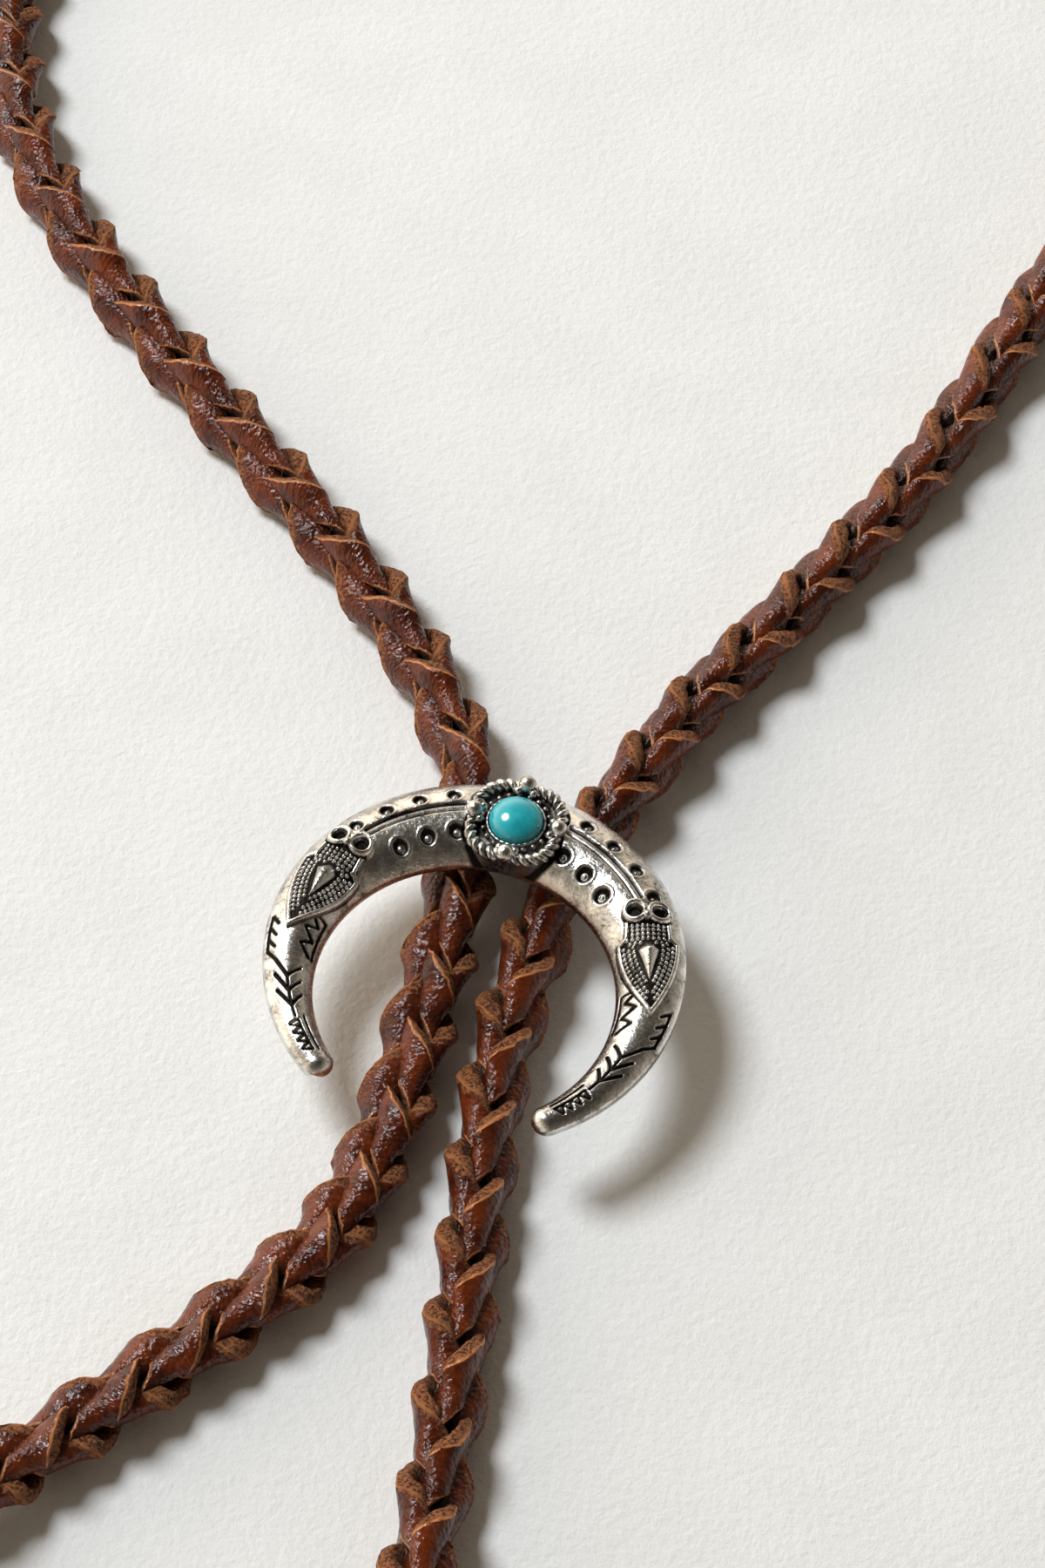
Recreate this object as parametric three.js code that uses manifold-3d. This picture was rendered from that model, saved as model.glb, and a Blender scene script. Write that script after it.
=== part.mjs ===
// A bolo tie laid on a flat surface. A cast crescent with a stone in its middle carries a plain clasp
// on its back. One braided cord runs from a metal tip through the clasp, round the neck, back through
// the clasp and on to the second tip. Units are millimetres, +Z is up and the surface is z = 0.
// The origin is the middle of the clasp's flat back face. +Y points to the neck loop.
import * as THREE from "three";
import { mergeVertices } from "three/addons/utils/BufferGeometryUtils.js";
import Module from "manifold-3d";

const wasm = await Module();
wasm.setup();

// Cord, and the clearances that everything shares
const CORD_DIAMETER = 7.0;
const CORD_SIDES = 10;
const CORD_STEPS = 80;
const CORD_CLEARANCE = 0.3; // between the cord and what it passes through
const TOUCH_GAP = 0.3; // between pieces that sit on each other
const SLIVER = 0.004; // what a cut leaves that is thinner than this goes

// Clasp
const CLASP_WALL = 0.9; // round each channel
const CLASP_DEPTH = 3.4; // along the cord
const CHANNEL_SPACING = 12.2;

// Crescent: the band between an outer circle and the circle of its opening
const CRESCENT_RADIUS = 23.0;
const BAND_WIDTH = 10.7; // at the top of the crescent
const HORN_WIDTH = 3.48; // at the end of a horn
const BAND_OFFSET = -3.25; // from the clasp's middle to the band's middle, at the top
const EDGE_HEIGHT = 1.5; // upright side wall on the outside
const OPENING_EDGE_HEIGHT = 0.7; // upright side wall at the opening
const CREST_HEIGHT = 4.0; // at the top of the crescent
const OUTER_SWEEP = 143; // degrees, from the top to the end of a horn
const HORN_CUT = 135.3; // degrees from straight up, the way a horn's end lies
const HORN_END_REACH = 0.87; // the rounded end's length as a share of half the horn's width
const HORN_STATIONS = 22;
const DOME_POINTS = 7;
const DOME_POWER = 0.8; // how full the dome is
const THINNING = 0.8; // how fast the crest sinks as the band narrows

// Dimples in two rows on each side; places are shares of the sweep, across is a share of the band
const DIMPLE_RADIUS = 0.95;
const DIMPLE_DEPTH = 0.45;
const DIMPLE_ROWS = [
  { first: 0.148, step: 0.074, count: 4, across: 0.5, drift: 0 },
  { first: 0.14, step: 0.0735, count: 3, across: -0.43, drift: -0.05 },
];

// Cut lines
const CUT_WIDTH = 0.42;
const CUT_DEPTH = 0.32;
const CUT_ABOVE = 0.6; // how far a cutter stands above the surface
const CREST_GROOVE = { from: 0.125, to: 0.352, across: 0.12, width: 0.8, pieces: 8 };
const COMB = { from: 0.655, to: 0.745, teeth: 4, root: 0.8, end: 0.42, lean: 0.012 };
const ZIGZAG = { from: 0.585, to: 0.7, bends: 5, near: -0.35, far: -0.72 };
const FLETCHING = { from: 0.78, step: 0.038, count: 3, reach: 0.5, rise: 0.035, stem: 0.885 };
const SAW = { from: 0.893, to: 0.978, teeth: 4, line: -0.42, foot: -0.1, peak: 0.42 };

// Arrow plates: the middle of the ring pair, and how the arrow is turned from the band's own run
const PLATE_ALONG = 0.402;
const PLATE_ACROSS = 0.154;
const PLATE_TURN = -17.6; // degrees
const PLATE_HEIGHT = 0.65; // rim above the crescent
const PLATE_FLOOR = 0.3; // floor inside the rim, above the crescent
const PLATE_RIM = 0.5;
const PLATE_LENGTH = 12.9;
const PLATE_NECK = { half: 2.45, from: 0.6, to: 2.9 };
const PLATE_SHOULDER = { half: 3.45, at: 3.6 };
const RING_SPACING = 2.75;
const RING_RADIUS = 1.4;
const RING_HEIGHT = 0.95;
const RING_PIT_RADIUS = 0.8;
const BEAD_RADIUS = 0.5; // the bead between the two rings
const DROP = { from: 3.9, to: 8.3, half: 1.15, height: 1.15 };
const GRAIN_RADIUS = 0.3;
const GRAIN_STEP = 0.8;
const GRAIN_ROWS = [0.45, 1.2]; // inwards from the rim
const GRAIN_NECK_ROWS = [1.7, 2.5];

// Stone and its setting
const STONE_DIAMETER = 6.0;
const STONE_GIRDLE = 0.5; // upright part of the stone
const STONE_DOME = 1.9;
const STONE_SEGMENTS = 24;
const DOME_RINGS = 6;
const SETTING_OFFSET = -4.0; // from the clasp's middle to the stone's middle
const SEAT_DROP = 1.3; // from the crest down to the setting's seat
const SEAT_ROOT = 0.2; // how far above the crescent's back the added metal starts
const SETTING_FLOOR = 0.4;
const SETTING_BASE = 0.8; // height of the setting's base
const SETTING_WALL = 0.5; // between the recess and the rope rim, where the rim is nearest
const LOBE_RISE = 0.95; // how far the rim swells between the beads
const RIM_RADIUS = 0.55;
const ROPE_TURNS = 28; // ridges round the rim
const SETTING_BEAD_RADIUS = 0.85;
const SETTING_BEAD_OUT = 0.45; // from the rim's middle out to a bead's middle
const SETTING_BEAD_RISE = 0.65; // from the rim's middle up to a bead's middle

// Tips on the cord's two ends
const TIP_LENGTH = 33;
const TIP_WALL = 0.5;
const TIP_BORE = 6; // how deep the cord goes in
const TIP_FERRULE = 7.5; // length of the straight part
const TIP_COLLAR = 2.2; // length of the raised band at the mouth
const TIP_COLLAR_STEP = 0.25;
const TIP_WAIST_RADIUS = 1.5;
const TIP_BALL_RADIUS = 2.0;
const TIP_SEGMENTS = 14;
const TIPS = [
  { name: "left_tip", x: -37.4, y: -99.2, heading: 233 },
  { name: "right_tip", x: 14.2, y: -95.0, heading: 279 },
];

// The cord's route from the left tip to the right one. A point with lift 1 is at the clasp's channel
// height, and one with lift 0 lies on the surface.
const LEFT_TAIL = [
  { x: -28.6, y: -87.4, lift: 0.2 },
  { x: -21.4, y: -77.6, lift: 0.03 },
  { x: -13.3, y: -66.0, lift: 0 },
  { x: -6.8, y: -54.6, lift: 0 },
  { x: -4.4, y: -42.0, lift: 0.03 },
  { x: -4.4, y: -27.0, lift: 0.2 },
  { x: -5.0, y: -12.0, lift: 0.8 },
];
const NECK = [
  { x: -8.9, y: 8.0, lift: 0.8 },
  { x: -15.2, y: 18.0, lift: 0.3 },
  { x: -29.3, y: 32.8, lift: 0.03 },
  { x: -46.0, y: 46.7, lift: 0 },
  { x: -63.1, y: 60.7, lift: 0 },
  { x: -79.2, y: 75.4, lift: 0 },
  { x: -91.2, y: 91.0, lift: 0 },
  { x: -98.6, y: 109.0, lift: 0 },
  { x: -101.4, y: 129.0, lift: 0 },
  { x: -99.5, y: 151.0, lift: 0 },
  { x: -93.0, y: 172.0, lift: 0 },
  { x: -81.0, y: 191.0, lift: 0 },
  { x: -62.0, y: 206.0, lift: 0 },
  { x: -36.0, y: 213.5, lift: 0 },
  { x: -8.0, y: 212.5, lift: 0 },
  { x: 17.0, y: 202.0, lift: 0 },
  { x: 35.5, y: 184.0, lift: 0 },
  { x: 45.5, y: 161.0, lift: 0 },
  { x: 47.5, y: 136.0, lift: 0 },
  { x: 45.3, y: 117.0, lift: 0 },
  { x: 40.0, y: 98.5, lift: 0 },
  { x: 31.7, y: 66.5, lift: 0 },
  { x: 22.0, y: 42.6, lift: 0.03 },
  { x: 14.0, y: 24.6, lift: 0.3 },
  { x: 8.6, y: 8.0, lift: 0.8 },
];
const RIGHT_TAIL = [
  { x: 5.0, y: -12.0, lift: 0.8 },
  { x: 4.9, y: -26.0, lift: 0.2 },
  { x: 6.4, y: -40.0, lift: 0.03 },
  { x: 8.9, y: -55.5, lift: 0 },
  { x: 11.0, y: -70.0, lift: 0.03 },
  { x: 12.4, y: -81.0, lift: 0.2 },
];

// Sizes that follow
const CORD_RADIUS = CORD_DIAMETER / 2;
const CHANNEL_RADIUS = CORD_RADIUS + CORD_CLEARANCE;
const CHANNEL_HEIGHT = CLASP_WALL + CHANNEL_RADIUS;
const CLASP_HEIGHT = 2 * CHANNEL_HEIGHT;
const CRESCENT_BACK = CLASP_HEIGHT + TOUCH_GAP;
const OUTER_CENTRE_Y = BAND_OFFSET + BAND_WIDTH / 2 - CRESCENT_RADIUS;
const OPENING_TOP_Y = BAND_OFFSET - BAND_WIDTH / 2;
const SEAT_HEIGHT = CRESCENT_BACK + CREST_HEIGHT - SEAT_DROP;
const SETTING_BOTTOM = SEAT_HEIGHT + TOUCH_GAP;
const STONE_RADIUS = STONE_DIAMETER / 2;
const RECESS_RADIUS = STONE_RADIUS + TOUCH_GAP;
const RIM_PINCH = RECESS_RADIUS + SETTING_WALL + RIM_RADIUS;
const TIP_RADIUS = CHANNEL_RADIUS + TIP_WALL;

// The opening's circle runs through the band's lower edge at the top and the inner corners of the horns.
const radians = THREE.MathUtils.degToRad;

function onCircle(radius, centreY, angle) {
  return new THREE.Vector2(radius * Math.sin(angle), centreY + radius * Math.cos(angle));
}

const HORN_CORNER = onCircle(CRESCENT_RADIUS, OUTER_CENTRE_Y, radians(OUTER_SWEEP)).sub(
  onCircle(HORN_WIDTH, 0, radians(HORN_CUT)),
);
const CORNER_DROP = OPENING_TOP_Y - HORN_CORNER.y;
const OPENING_RADIUS = (HORN_CORNER.x ** 2 + CORNER_DROP ** 2) / (2 * CORNER_DROP);
const OPENING_CENTRE_Y = OPENING_TOP_Y - OPENING_RADIUS;
const OPENING_SWEEP = Math.atan2(HORN_CORNER.x, HORN_CORNER.y - OPENING_CENTRE_Y);

// Solids and meshes
function solidOf(geometry) {
  const bare = geometry.clone();
  bare.deleteAttribute("normal");
  bare.deleteAttribute("uv");
  const merged = mergeVertices(bare, 1e-4);
  return new wasm.Manifold(
    new wasm.Mesh({
      numProp: 3,
      vertProperties: new Float32Array(merged.attributes.position.array),
      triVerts: new Uint32Array(merged.index.array),
    }),
  );
}

// The solid's skin, without the slivers that cuts leave.
function geometryOf(solid) {
  const mesh = solid.asOriginal().simplify(SLIVER).getMesh();
  const geometry = new THREE.BufferGeometry();
  geometry.setAttribute("position", new THREE.BufferAttribute(mesh.vertProperties, 3));
  geometry.setIndex(new THREE.BufferAttribute(mesh.triVerts, 1));
  return geometry;
}

// A closed skin through rings of equally many points, all going round the same way.
function loftGeometry(rings) {
  const around = rings[0].length;
  const points = rings.flat();
  const faces = [];
  for (let i = 0; i + 1 < rings.length; i++) {
    for (let k = 0; k < around; k++) {
      const a = i * around + k;
      const b = i * around + ((k + 1) % around);
      faces.push(a, b, a + around, b, b + around, a + around);
    }
  }
  for (const [start, turned] of [[0, true], [(rings.length - 1) * around, false]]) {
    const middle = points.length;
    const centre = new THREE.Vector3();
    for (let k = 0; k < around; k++) centre.addScaledVector(points[start + k], 1 / around);
    points.push(centre);
    for (let k = 0; k < around; k++) {
      const a = start + k;
      const b = start + ((k + 1) % around);
      faces.push(...(turned ? [b, a, middle] : [a, b, middle]));
    }
  }
  const geometry = new THREE.BufferGeometry().setFromPoints(points);
  geometry.setIndex(faces);
  return geometry;
}

function loft(rings) {
  const solid = solidOf(loftGeometry(rings));
  return solid.volume() < 0 ? solidOf(loftGeometry([...rings].reverse())) : solid;
}

function joined(solids) {
  return wasm.Manifold.union(solids);
}

function prism(outline, bottom, top) {
  const shape = new THREE.Shape(outline);
  const geometry = new THREE.ExtrudeGeometry(shape, { depth: top - bottom, bevelEnabled: false });
  return solidOf(geometry.translate(0, 0, bottom));
}

function disc(radius, bottom, top, x, y, segments = 20) {
  const geometry = new THREE.CylinderGeometry(radius, radius, top - bottom, segments);
  return solidOf(geometry.rotateX(Math.PI / 2).translate(x, y, (bottom + top) / 2));
}

function ball(radius, centre, wide = 12, high = 8) {
  const geometry = new THREE.SphereGeometry(radius, wide, high);
  return solidOf(geometry.rotateX(Math.PI / 2).translate(centre.x, centre.y, centre.z));
}

// The crescent's domed surface: along runs from -1 to 1 between the horns' ends, and across from -1
// at the opening to 1 at the outer edge.
function bandAt(along) {
  const outer = onCircle(CRESCENT_RADIUS, OUTER_CENTRE_Y, along * radians(OUTER_SWEEP));
  const inner = onCircle(OPENING_RADIUS, OPENING_CENTRE_Y, along * OPENING_SWEEP);
  const half = outer.clone().sub(inner).multiplyScalar(0.5);
  return { middle: outer.clone().add(inner).multiplyScalar(0.5), half };
}

function domeHeight(halfWidth, across) {
  const share = (halfWidth / (BAND_WIDTH / 2)) ** THINNING;
  const round = Math.max(0, 1 - across * across) ** DOME_POWER;
  const edge = THREE.MathUtils.lerp(OPENING_EDGE_HEIGHT, EDGE_HEIGHT, (across + 1) / 2);
  return edge * Math.min(1, share + 0.2) + (CREST_HEIGHT - edge) * share * round;
}

function surfacePoint(along, across, above = 0) {
  const { middle, half } = bandAt(along);
  const spot = middle.clone().addScaledVector(half, across);
  const height = CRESCENT_BACK + domeHeight(half.length(), across) + above;
  return new THREE.Vector3(spot.x, spot.y, height);
}

// How high the crescent stands at a place in plan.
function heightAt(x, y) {
  let low = -1;
  let high = 1;
  for (let i = 0; i < 40; i++) {
    const along = (low + high) / 2;
    const { middle, half } = bandAt(along);
    const turned = half.x * (y - middle.y) - half.y * (x - middle.x);
    if (turned < 0) low = along;
    else high = along;
  }
  const { middle, half } = bandAt(low);
  const across = ((x - middle.x) * half.x + (y - middle.y) * half.y) / half.lengthSq();
  return CRESCENT_BACK + domeHeight(half.length(), THREE.MathUtils.clamp(across, -1, 1));
}

// One ring of the crescent: the flat back, two upright walls and the dome.
function bandRing(middle, half, lift, shrink = 1) {
  const ring = [];
  const place = (across, height) => {
    const spot = middle.clone().addScaledVector(half, across);
    ring.push(new THREE.Vector3(spot.x, spot.y, CRESCENT_BACK + height));
  };
  place(1, 0);
  place(-1, 0);
  for (let k = 0; k <= DOME_POINTS; k++) {
    const across = -Math.cos((k / DOME_POINTS) * Math.PI);
    place(across, domeHeight(half.length() / shrink, across) * shrink + lift);
  }
  return ring;
}

function hornEnd(side, lift) {
  const { middle, half } = bandAt(side);
  const forward = new THREE.Vector2(-half.y, half.x).normalize().multiplyScalar(-side);
  const rings = [];
  for (const degrees of [25, 50, 70, 85]) {
    const reach = Math.sin(radians(degrees)) * half.length() * HORN_END_REACH;
    const shrink = Math.cos(radians(degrees));
    const spot = middle.clone().addScaledVector(forward, reach);
    rings.push(bandRing(spot, half.clone().multiplyScalar(shrink), lift * shrink, shrink));
  }
  return rings;
}

function bandSolid(lift = 0) {
  const rings = hornEnd(-1, lift).reverse();
  for (let i = -HORN_STATIONS; i <= HORN_STATIONS; i++) {
    const { middle, half } = bandAt(i / HORN_STATIONS);
    rings.push(bandRing(middle, half, lift));
  }
  rings.push(...hornEnd(1, lift));
  return loft(rings);
}

// A straight cut between two places on the surface.
function stroke(from, to, width = CUT_WIDTH, pieces = 1) {
  const rings = [];
  for (let i = 0; i <= pieces; i++) {
    const share = i / pieces;
    const along = THREE.MathUtils.lerp(from.along, to.along, share);
    const across = THREE.MathUtils.lerp(from.across, to.across, share);
    const here = surfacePoint(along, across);
    const step = 0.001;
    const next = surfacePoint(
      along + (to.along - from.along) * step,
      across + (to.across - from.across) * step,
    );
    const forward = next.sub(here).normalize();
    const right = surfacePoint(along, across + step).sub(surfacePoint(along, across - step));
    const ahead = surfacePoint(along + step, across).sub(surfacePoint(along - step, across));
    const normal = right.cross(ahead).normalize();
    if (normal.z < 0) normal.negate();
    const side = forward.clone().cross(normal).normalize();
    if (i === 0) here.addScaledVector(forward, -width * 0.4);
    if (i === pieces) here.addScaledVector(forward, width * 0.4);
    const low = here.clone().addScaledVector(normal, -CUT_DEPTH);
    const high = here.clone().addScaledVector(normal, CUT_ABOVE);
    rings.push([
      low.clone().addScaledVector(side, -width * 0.3),
      low.clone().addScaledVector(side, width * 0.3),
      high.clone().addScaledVector(side, width * 0.7),
      high.clone().addScaledVector(side, -width * 0.7),
    ]);
  }
  return loft(rings);
}

function strokes(places) {
  return places.slice(1).map((place, i) => stroke(places[i], place));
}

function combCuts(side) {
  const cuts = strokes([
    { along: side * COMB.from, across: COMB.root },
    { along: side * COMB.to, across: COMB.root },
  ]);
  for (let i = 0; i < COMB.teeth; i++) {
    const along = THREE.MathUtils.lerp(COMB.from, COMB.to, i / (COMB.teeth - 1));
    cuts.push(
      stroke(
        { along: side * along, across: COMB.root },
        { along: side * (along + COMB.lean), across: COMB.end },
      ),
    );
  }
  return cuts;
}

function zigzagCuts(side) {
  const places = [];
  for (let i = 0; i <= ZIGZAG.bends; i++) {
    const along = THREE.MathUtils.lerp(ZIGZAG.from, ZIGZAG.to, i / ZIGZAG.bends);
    places.push({ along: side * along, across: i % 2 ? ZIGZAG.far : ZIGZAG.near });
  }
  return strokes(places);
}

function fletchingCuts(side) {
  const last = FLETCHING.from + FLETCHING.step * (FLETCHING.count - 1);
  const cuts = strokes([
    { along: side * FLETCHING.from, across: 0 },
    { along: side * ((last + FLETCHING.stem) / 2), across: 0 },
    { along: side * FLETCHING.stem, across: 0 },
  ]);
  for (let i = 0; i < FLETCHING.count; i++) {
    const along = FLETCHING.from + i * FLETCHING.step;
    for (const reach of [-FLETCHING.reach, FLETCHING.reach]) {
      cuts.push(
        stroke(
          { along: side * along, across: 0 },
          { along: side * (along - FLETCHING.rise), across: reach },
        ),
      );
    }
  }
  return cuts;
}

// A three-cornered pit: its corners lie on the surface and its bottom is a small triangle.
function notch(corners) {
  const top = corners.map(({ along, across }) => surfacePoint(along, across, CUT_ABOVE));
  const middle = new THREE.Vector3();
  for (const corner of top) middle.addScaledVector(corner, 1 / top.length);
  const sink = new THREE.Vector3(0, 0, -CUT_ABOVE - CUT_DEPTH);
  const bottom = top.map((corner) => corner.clone().lerp(middle, 0.25).add(sink));
  return loft([bottom, top]);
}

function sawCuts(side) {
  const step = (SAW.to - SAW.from) / SAW.teeth;
  const cuts = strokes([
    { along: side * SAW.from, across: SAW.line },
    { along: side * SAW.to, across: SAW.line },
  ]);
  for (let i = 0; i < SAW.teeth; i++) {
    const along = SAW.from + i * step;
    cuts.push(
      notch([
        { along: side * along, across: SAW.foot },
        { along: side * (along + step * 0.5), across: SAW.peak },
        { along: side * (along + step * 0.9), across: SAW.foot },
      ]),
    );
  }
  return cuts;
}

function crestCut(side) {
  const { from, to, across, width, pieces } = CREST_GROOVE;
  return stroke({ along: side * from, across }, { along: side * to, across }, width, pieces);
}

function dimpleCuts(side) {
  const cuts = [];
  const above = DIMPLE_RADIUS - DIMPLE_DEPTH;
  for (const { first, step, count, across, drift } of DIMPLE_ROWS) {
    for (let i = 0; i < count; i++) {
      const middle = surfacePoint(side * (first + i * step), across + i * drift, above);
      cuts.push(ball(DIMPLE_RADIUS, middle, 8, 8));
    }
  }
  return cuts;
}

// Arrow plates, in their own plan: right is across the arrow and down is towards its point
function plateSpot(side, right, down) {
  const at = surfacePoint(PLATE_ALONG, PLATE_ACROSS);
  const run = bandAt(PLATE_ALONG + 0.001).middle.sub(bandAt(PLATE_ALONG).middle);
  const turn = Math.atan2(run.x, -run.y) + radians(PLATE_TURN);
  const x = at.x + right * Math.cos(turn) + down * Math.sin(turn);
  const y = at.y + right * Math.sin(turn) - down * Math.cos(turn);
  return new THREE.Vector2(side * x, y);
}

function plateOutline(side, inset) {
  const slope = PLATE_SHOULDER.half / (PLATE_LENGTH - PLATE_SHOULDER.at);
  const point = PLATE_LENGTH - inset / Math.sin(Math.atan(slope));
  const neck = PLATE_NECK.half - inset;
  const shoulder = PLATE_SHOULDER.at + inset;
  const half = (point - shoulder) * slope;
  const rights = [
    [neck, PLATE_NECK.from + inset],
    [neck, Math.min(PLATE_NECK.to + inset, shoulder)],
    [half, shoulder],
    [0, point],
  ];
  const lefts = rights.slice(0, 3).reverse();
  const plan = [...rights, ...lefts.map(([right, down]) => [-right, down])];
  const outline = plan.map(([right, down]) => plateSpot(side, right, down));
  return side > 0 ? outline.reverse() : outline;
}

function grains(side) {
  const slope = PLATE_SHOULDER.half / (PLATE_LENGTH - PLATE_SHOULDER.at);
  const tilt = Math.atan(slope);
  const spots = [];
  for (const row of GRAIN_ROWS) {
    const inset = PLATE_RIM + row;
    const point = PLATE_LENGTH - inset / Math.sin(tilt);
    const top = PLATE_SHOULDER.at + PLATE_RIM + GRAIN_RADIUS;
    const count = Math.floor((point - top) / (GRAIN_STEP * Math.cos(tilt)));
    for (let i = 0; i <= count; i++) {
      const down = point - i * GRAIN_STEP * Math.cos(tilt);
      const right = (point - down) * slope;
      spots.push([right, down]);
      if (i > 0) spots.push([-right, down]);
    }
  }
  for (const down of GRAIN_NECK_ROWS) {
    for (let i = -2; i <= 2; i++) spots.push([i * GRAIN_STEP, down]);
  }
  return spots.map(([right, down]) => {
    const spot = plateSpot(side, right, down);
    const height = heightAt(spot.x, spot.y) + PLATE_FLOOR;
    const geometry = new THREE.OctahedronGeometry(GRAIN_RADIUS);
    return solidOf(geometry.translate(spot.x, spot.y, height + GRAIN_RADIUS * 0.2));
  });
}

function drop(side) {
  const floorOf = (right, down, above) => {
    const spot = plateSpot(side, right, down);
    return new THREE.Vector3(spot.x, spot.y, heightAt(spot.x, spot.y) + above);
  };
  const shoulder = THREE.MathUtils.lerp(DROP.from, DROP.to, 0.18);
  const corners = [[0, DROP.from], [DROP.half, shoulder], [0, DROP.to], [-DROP.half, shoulder]];
  const peak = floorOf(0, THREE.MathUtils.lerp(DROP.from, DROP.to, 0.3), DROP.height);
  const base = corners.map(([right, down]) => floorOf(right, down, PLATE_FLOOR - 0.5));
  const top = base.map((corner) => peak.clone().lerp(corner, 0.02));
  return loft([base, top]);
}

function arrowPlate(side) {
  const high = CRESCENT_BACK + 3 * CREST_HEIGHT;
  const middle = CRESCENT_BACK + SEAT_ROOT;
  const rim = prism(plateOutline(side, 0), middle, high).intersect(bandSolid(PLATE_HEIGHT));
  const pocket = prism(plateOutline(side, PLATE_RIM), middle, high).subtract(bandSolid(PLATE_FLOOR));
  const raised = bandSolid(RING_HEIGHT);
  const centres = [-RING_SPACING / 2, RING_SPACING / 2].map((right) => plateSpot(side, right, 0));
  const rings = centres.map(({ x, y }) => disc(RING_RADIUS, middle, high, x, y, 16).intersect(raised));
  const pits = centres.map(({ x, y }) =>
    ball(RING_PIT_RADIUS, new THREE.Vector3(x, y, heightAt(x, y) + RING_HEIGHT), 10, 6),
  );
  const { x, y } = plateSpot(side, 0, BEAD_RADIUS);
  const beadHeight = heightAt(x, y) + RING_HEIGHT;
  const bead = ball(BEAD_RADIUS, new THREE.Vector3(x, y, beadHeight), 8, 6);
  const foot = disc(BEAD_RADIUS, middle, beadHeight, x, y, 8);
  const plate = joined([rim.subtract(pocket), ...rings, bead, foot, drop(side), ...grains(side)]);
  return plate.subtract(joined(pits));
}

function crescentSolid() {
  const seat = disc(RIM_PINCH, CRESCENT_BACK + SEAT_ROOT, SEAT_HEIGHT, 0, SETTING_OFFSET, 28);
  const top = SEAT_HEIGHT + CREST_HEIGHT;
  const pocket = prism(settingOutline(RIM_RADIUS + TOUCH_GAP), SEAT_HEIGHT, top);
  const beads = settingBeadSpots().map(({ x, y }) =>
    disc(SETTING_BEAD_RADIUS + TOUCH_GAP, SEAT_HEIGHT, top, x, y, 12),
  );
  const cuts = [-1, 1].flatMap((side) => [
    crestCut(side),
    ...dimpleCuts(side),
    ...combCuts(side),
    ...zigzagCuts(side),
    ...fletchingCuts(side),
    ...sawCuts(side),
  ]);
  const band = joined([bandSolid(), seat]).subtract(joined(cuts));
  return joined([band, arrowPlate(-1), arrowPlate(1)]).subtract(joined([pocket, ...beads]));
}

// Setting: a four-lobed cup with a roped rim and a bead between each two lobes
function rimRadius(angle) {
  return RIM_PINCH + LOBE_RISE * Math.abs(Math.sin(2 * angle)) ** 0.8;
}

function settingOutline(outwards) {
  const outline = [];
  for (let i = 0; i < 2 * ROPE_TURNS; i++) {
    const angle = (i / (2 * ROPE_TURNS)) * 2 * Math.PI;
    const radius = rimRadius(angle) + outwards;
    outline.push(
      new THREE.Vector2(radius * Math.cos(angle), SETTING_OFFSET + radius * Math.sin(angle)),
    );
  }
  return outline;
}

function settingBeadSpots() {
  const out = RIM_PINCH + SETTING_BEAD_OUT;
  return [0, 90, 180, 270].map((degrees) => {
    const angle = radians(degrees);
    return new THREE.Vector2(out * Math.cos(angle), SETTING_OFFSET + out * Math.sin(angle));
  });
}

function ropeRim(height) {
  const rings = [];
  const stations = 2 * ROPE_TURNS;
  for (let i = 0; i < stations; i++) {
    const angle = (i / stations) * 2 * Math.PI;
    const thick = i % 2 ? RIM_RADIUS : RIM_RADIUS * 0.72;
    const ring = [];
    for (let k = 0; k < 6; k++) {
      const turn = (k / 6) * 2 * Math.PI;
      const radius = rimRadius(angle) + thick * Math.cos(turn);
      ring.push(
        new THREE.Vector3(
          radius * Math.cos(angle),
          SETTING_OFFSET + radius * Math.sin(angle),
          height + thick * Math.sin(turn),
        ),
      );
    }
    rings.push(ring);
  }
  const points = rings.flat();
  const faces = [];
  for (let i = 0; i < stations; i++) {
    for (let k = 0; k < 6; k++) {
      const a = i * 6 + k;
      const b = i * 6 + ((k + 1) % 6);
      const c = ((i + 1) % stations) * 6 + k;
      const d = ((i + 1) % stations) * 6 + ((k + 1) % 6);
      faces.push(a, c, b, b, c, d);
    }
  }
  const geometry = new THREE.BufferGeometry().setFromPoints(points);
  geometry.setIndex(faces);
  return solidOf(geometry);
}

function settingSolid() {
  const top = SETTING_BOTTOM + SETTING_BASE;
  const base = prism(settingOutline(RIM_RADIUS * 0.5), SETTING_BOTTOM, top);
  const beads = settingBeadSpots().flatMap(({ x, y }) => [
    disc(SETTING_BEAD_RADIUS * 0.8, SETTING_BOTTOM, top, x, y, 10),
    ball(SETTING_BEAD_RADIUS, new THREE.Vector3(x, y, top + SETTING_BEAD_RISE), 10, 6),
  ]);
  const floor = SETTING_BOTTOM + SETTING_FLOOR;
  const recess = disc(RECESS_RADIUS, floor, top + CREST_HEIGHT, 0, SETTING_OFFSET, STONE_SEGMENTS);
  return joined([base, ropeRim(top), ...beads]).subtract(recess);
}

function stoneGeometry() {
  const profile = [new THREE.Vector2(0, 0), new THREE.Vector2(STONE_RADIUS * 0.94, 0)];
  profile.push(new THREE.Vector2(STONE_RADIUS, STONE_GIRDLE * 0.3));
  for (let i = 0; i < DOME_RINGS; i++) {
    const angle = (i / DOME_RINGS) * (Math.PI / 2);
    const height = STONE_GIRDLE + STONE_DOME * Math.sin(angle);
    profile.push(new THREE.Vector2(STONE_RADIUS * Math.cos(angle), height));
  }
  profile.push(new THREE.Vector2(0, STONE_GIRDLE + STONE_DOME));
  return new THREE.LatheGeometry(profile, STONE_SEGMENTS);
}

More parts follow.
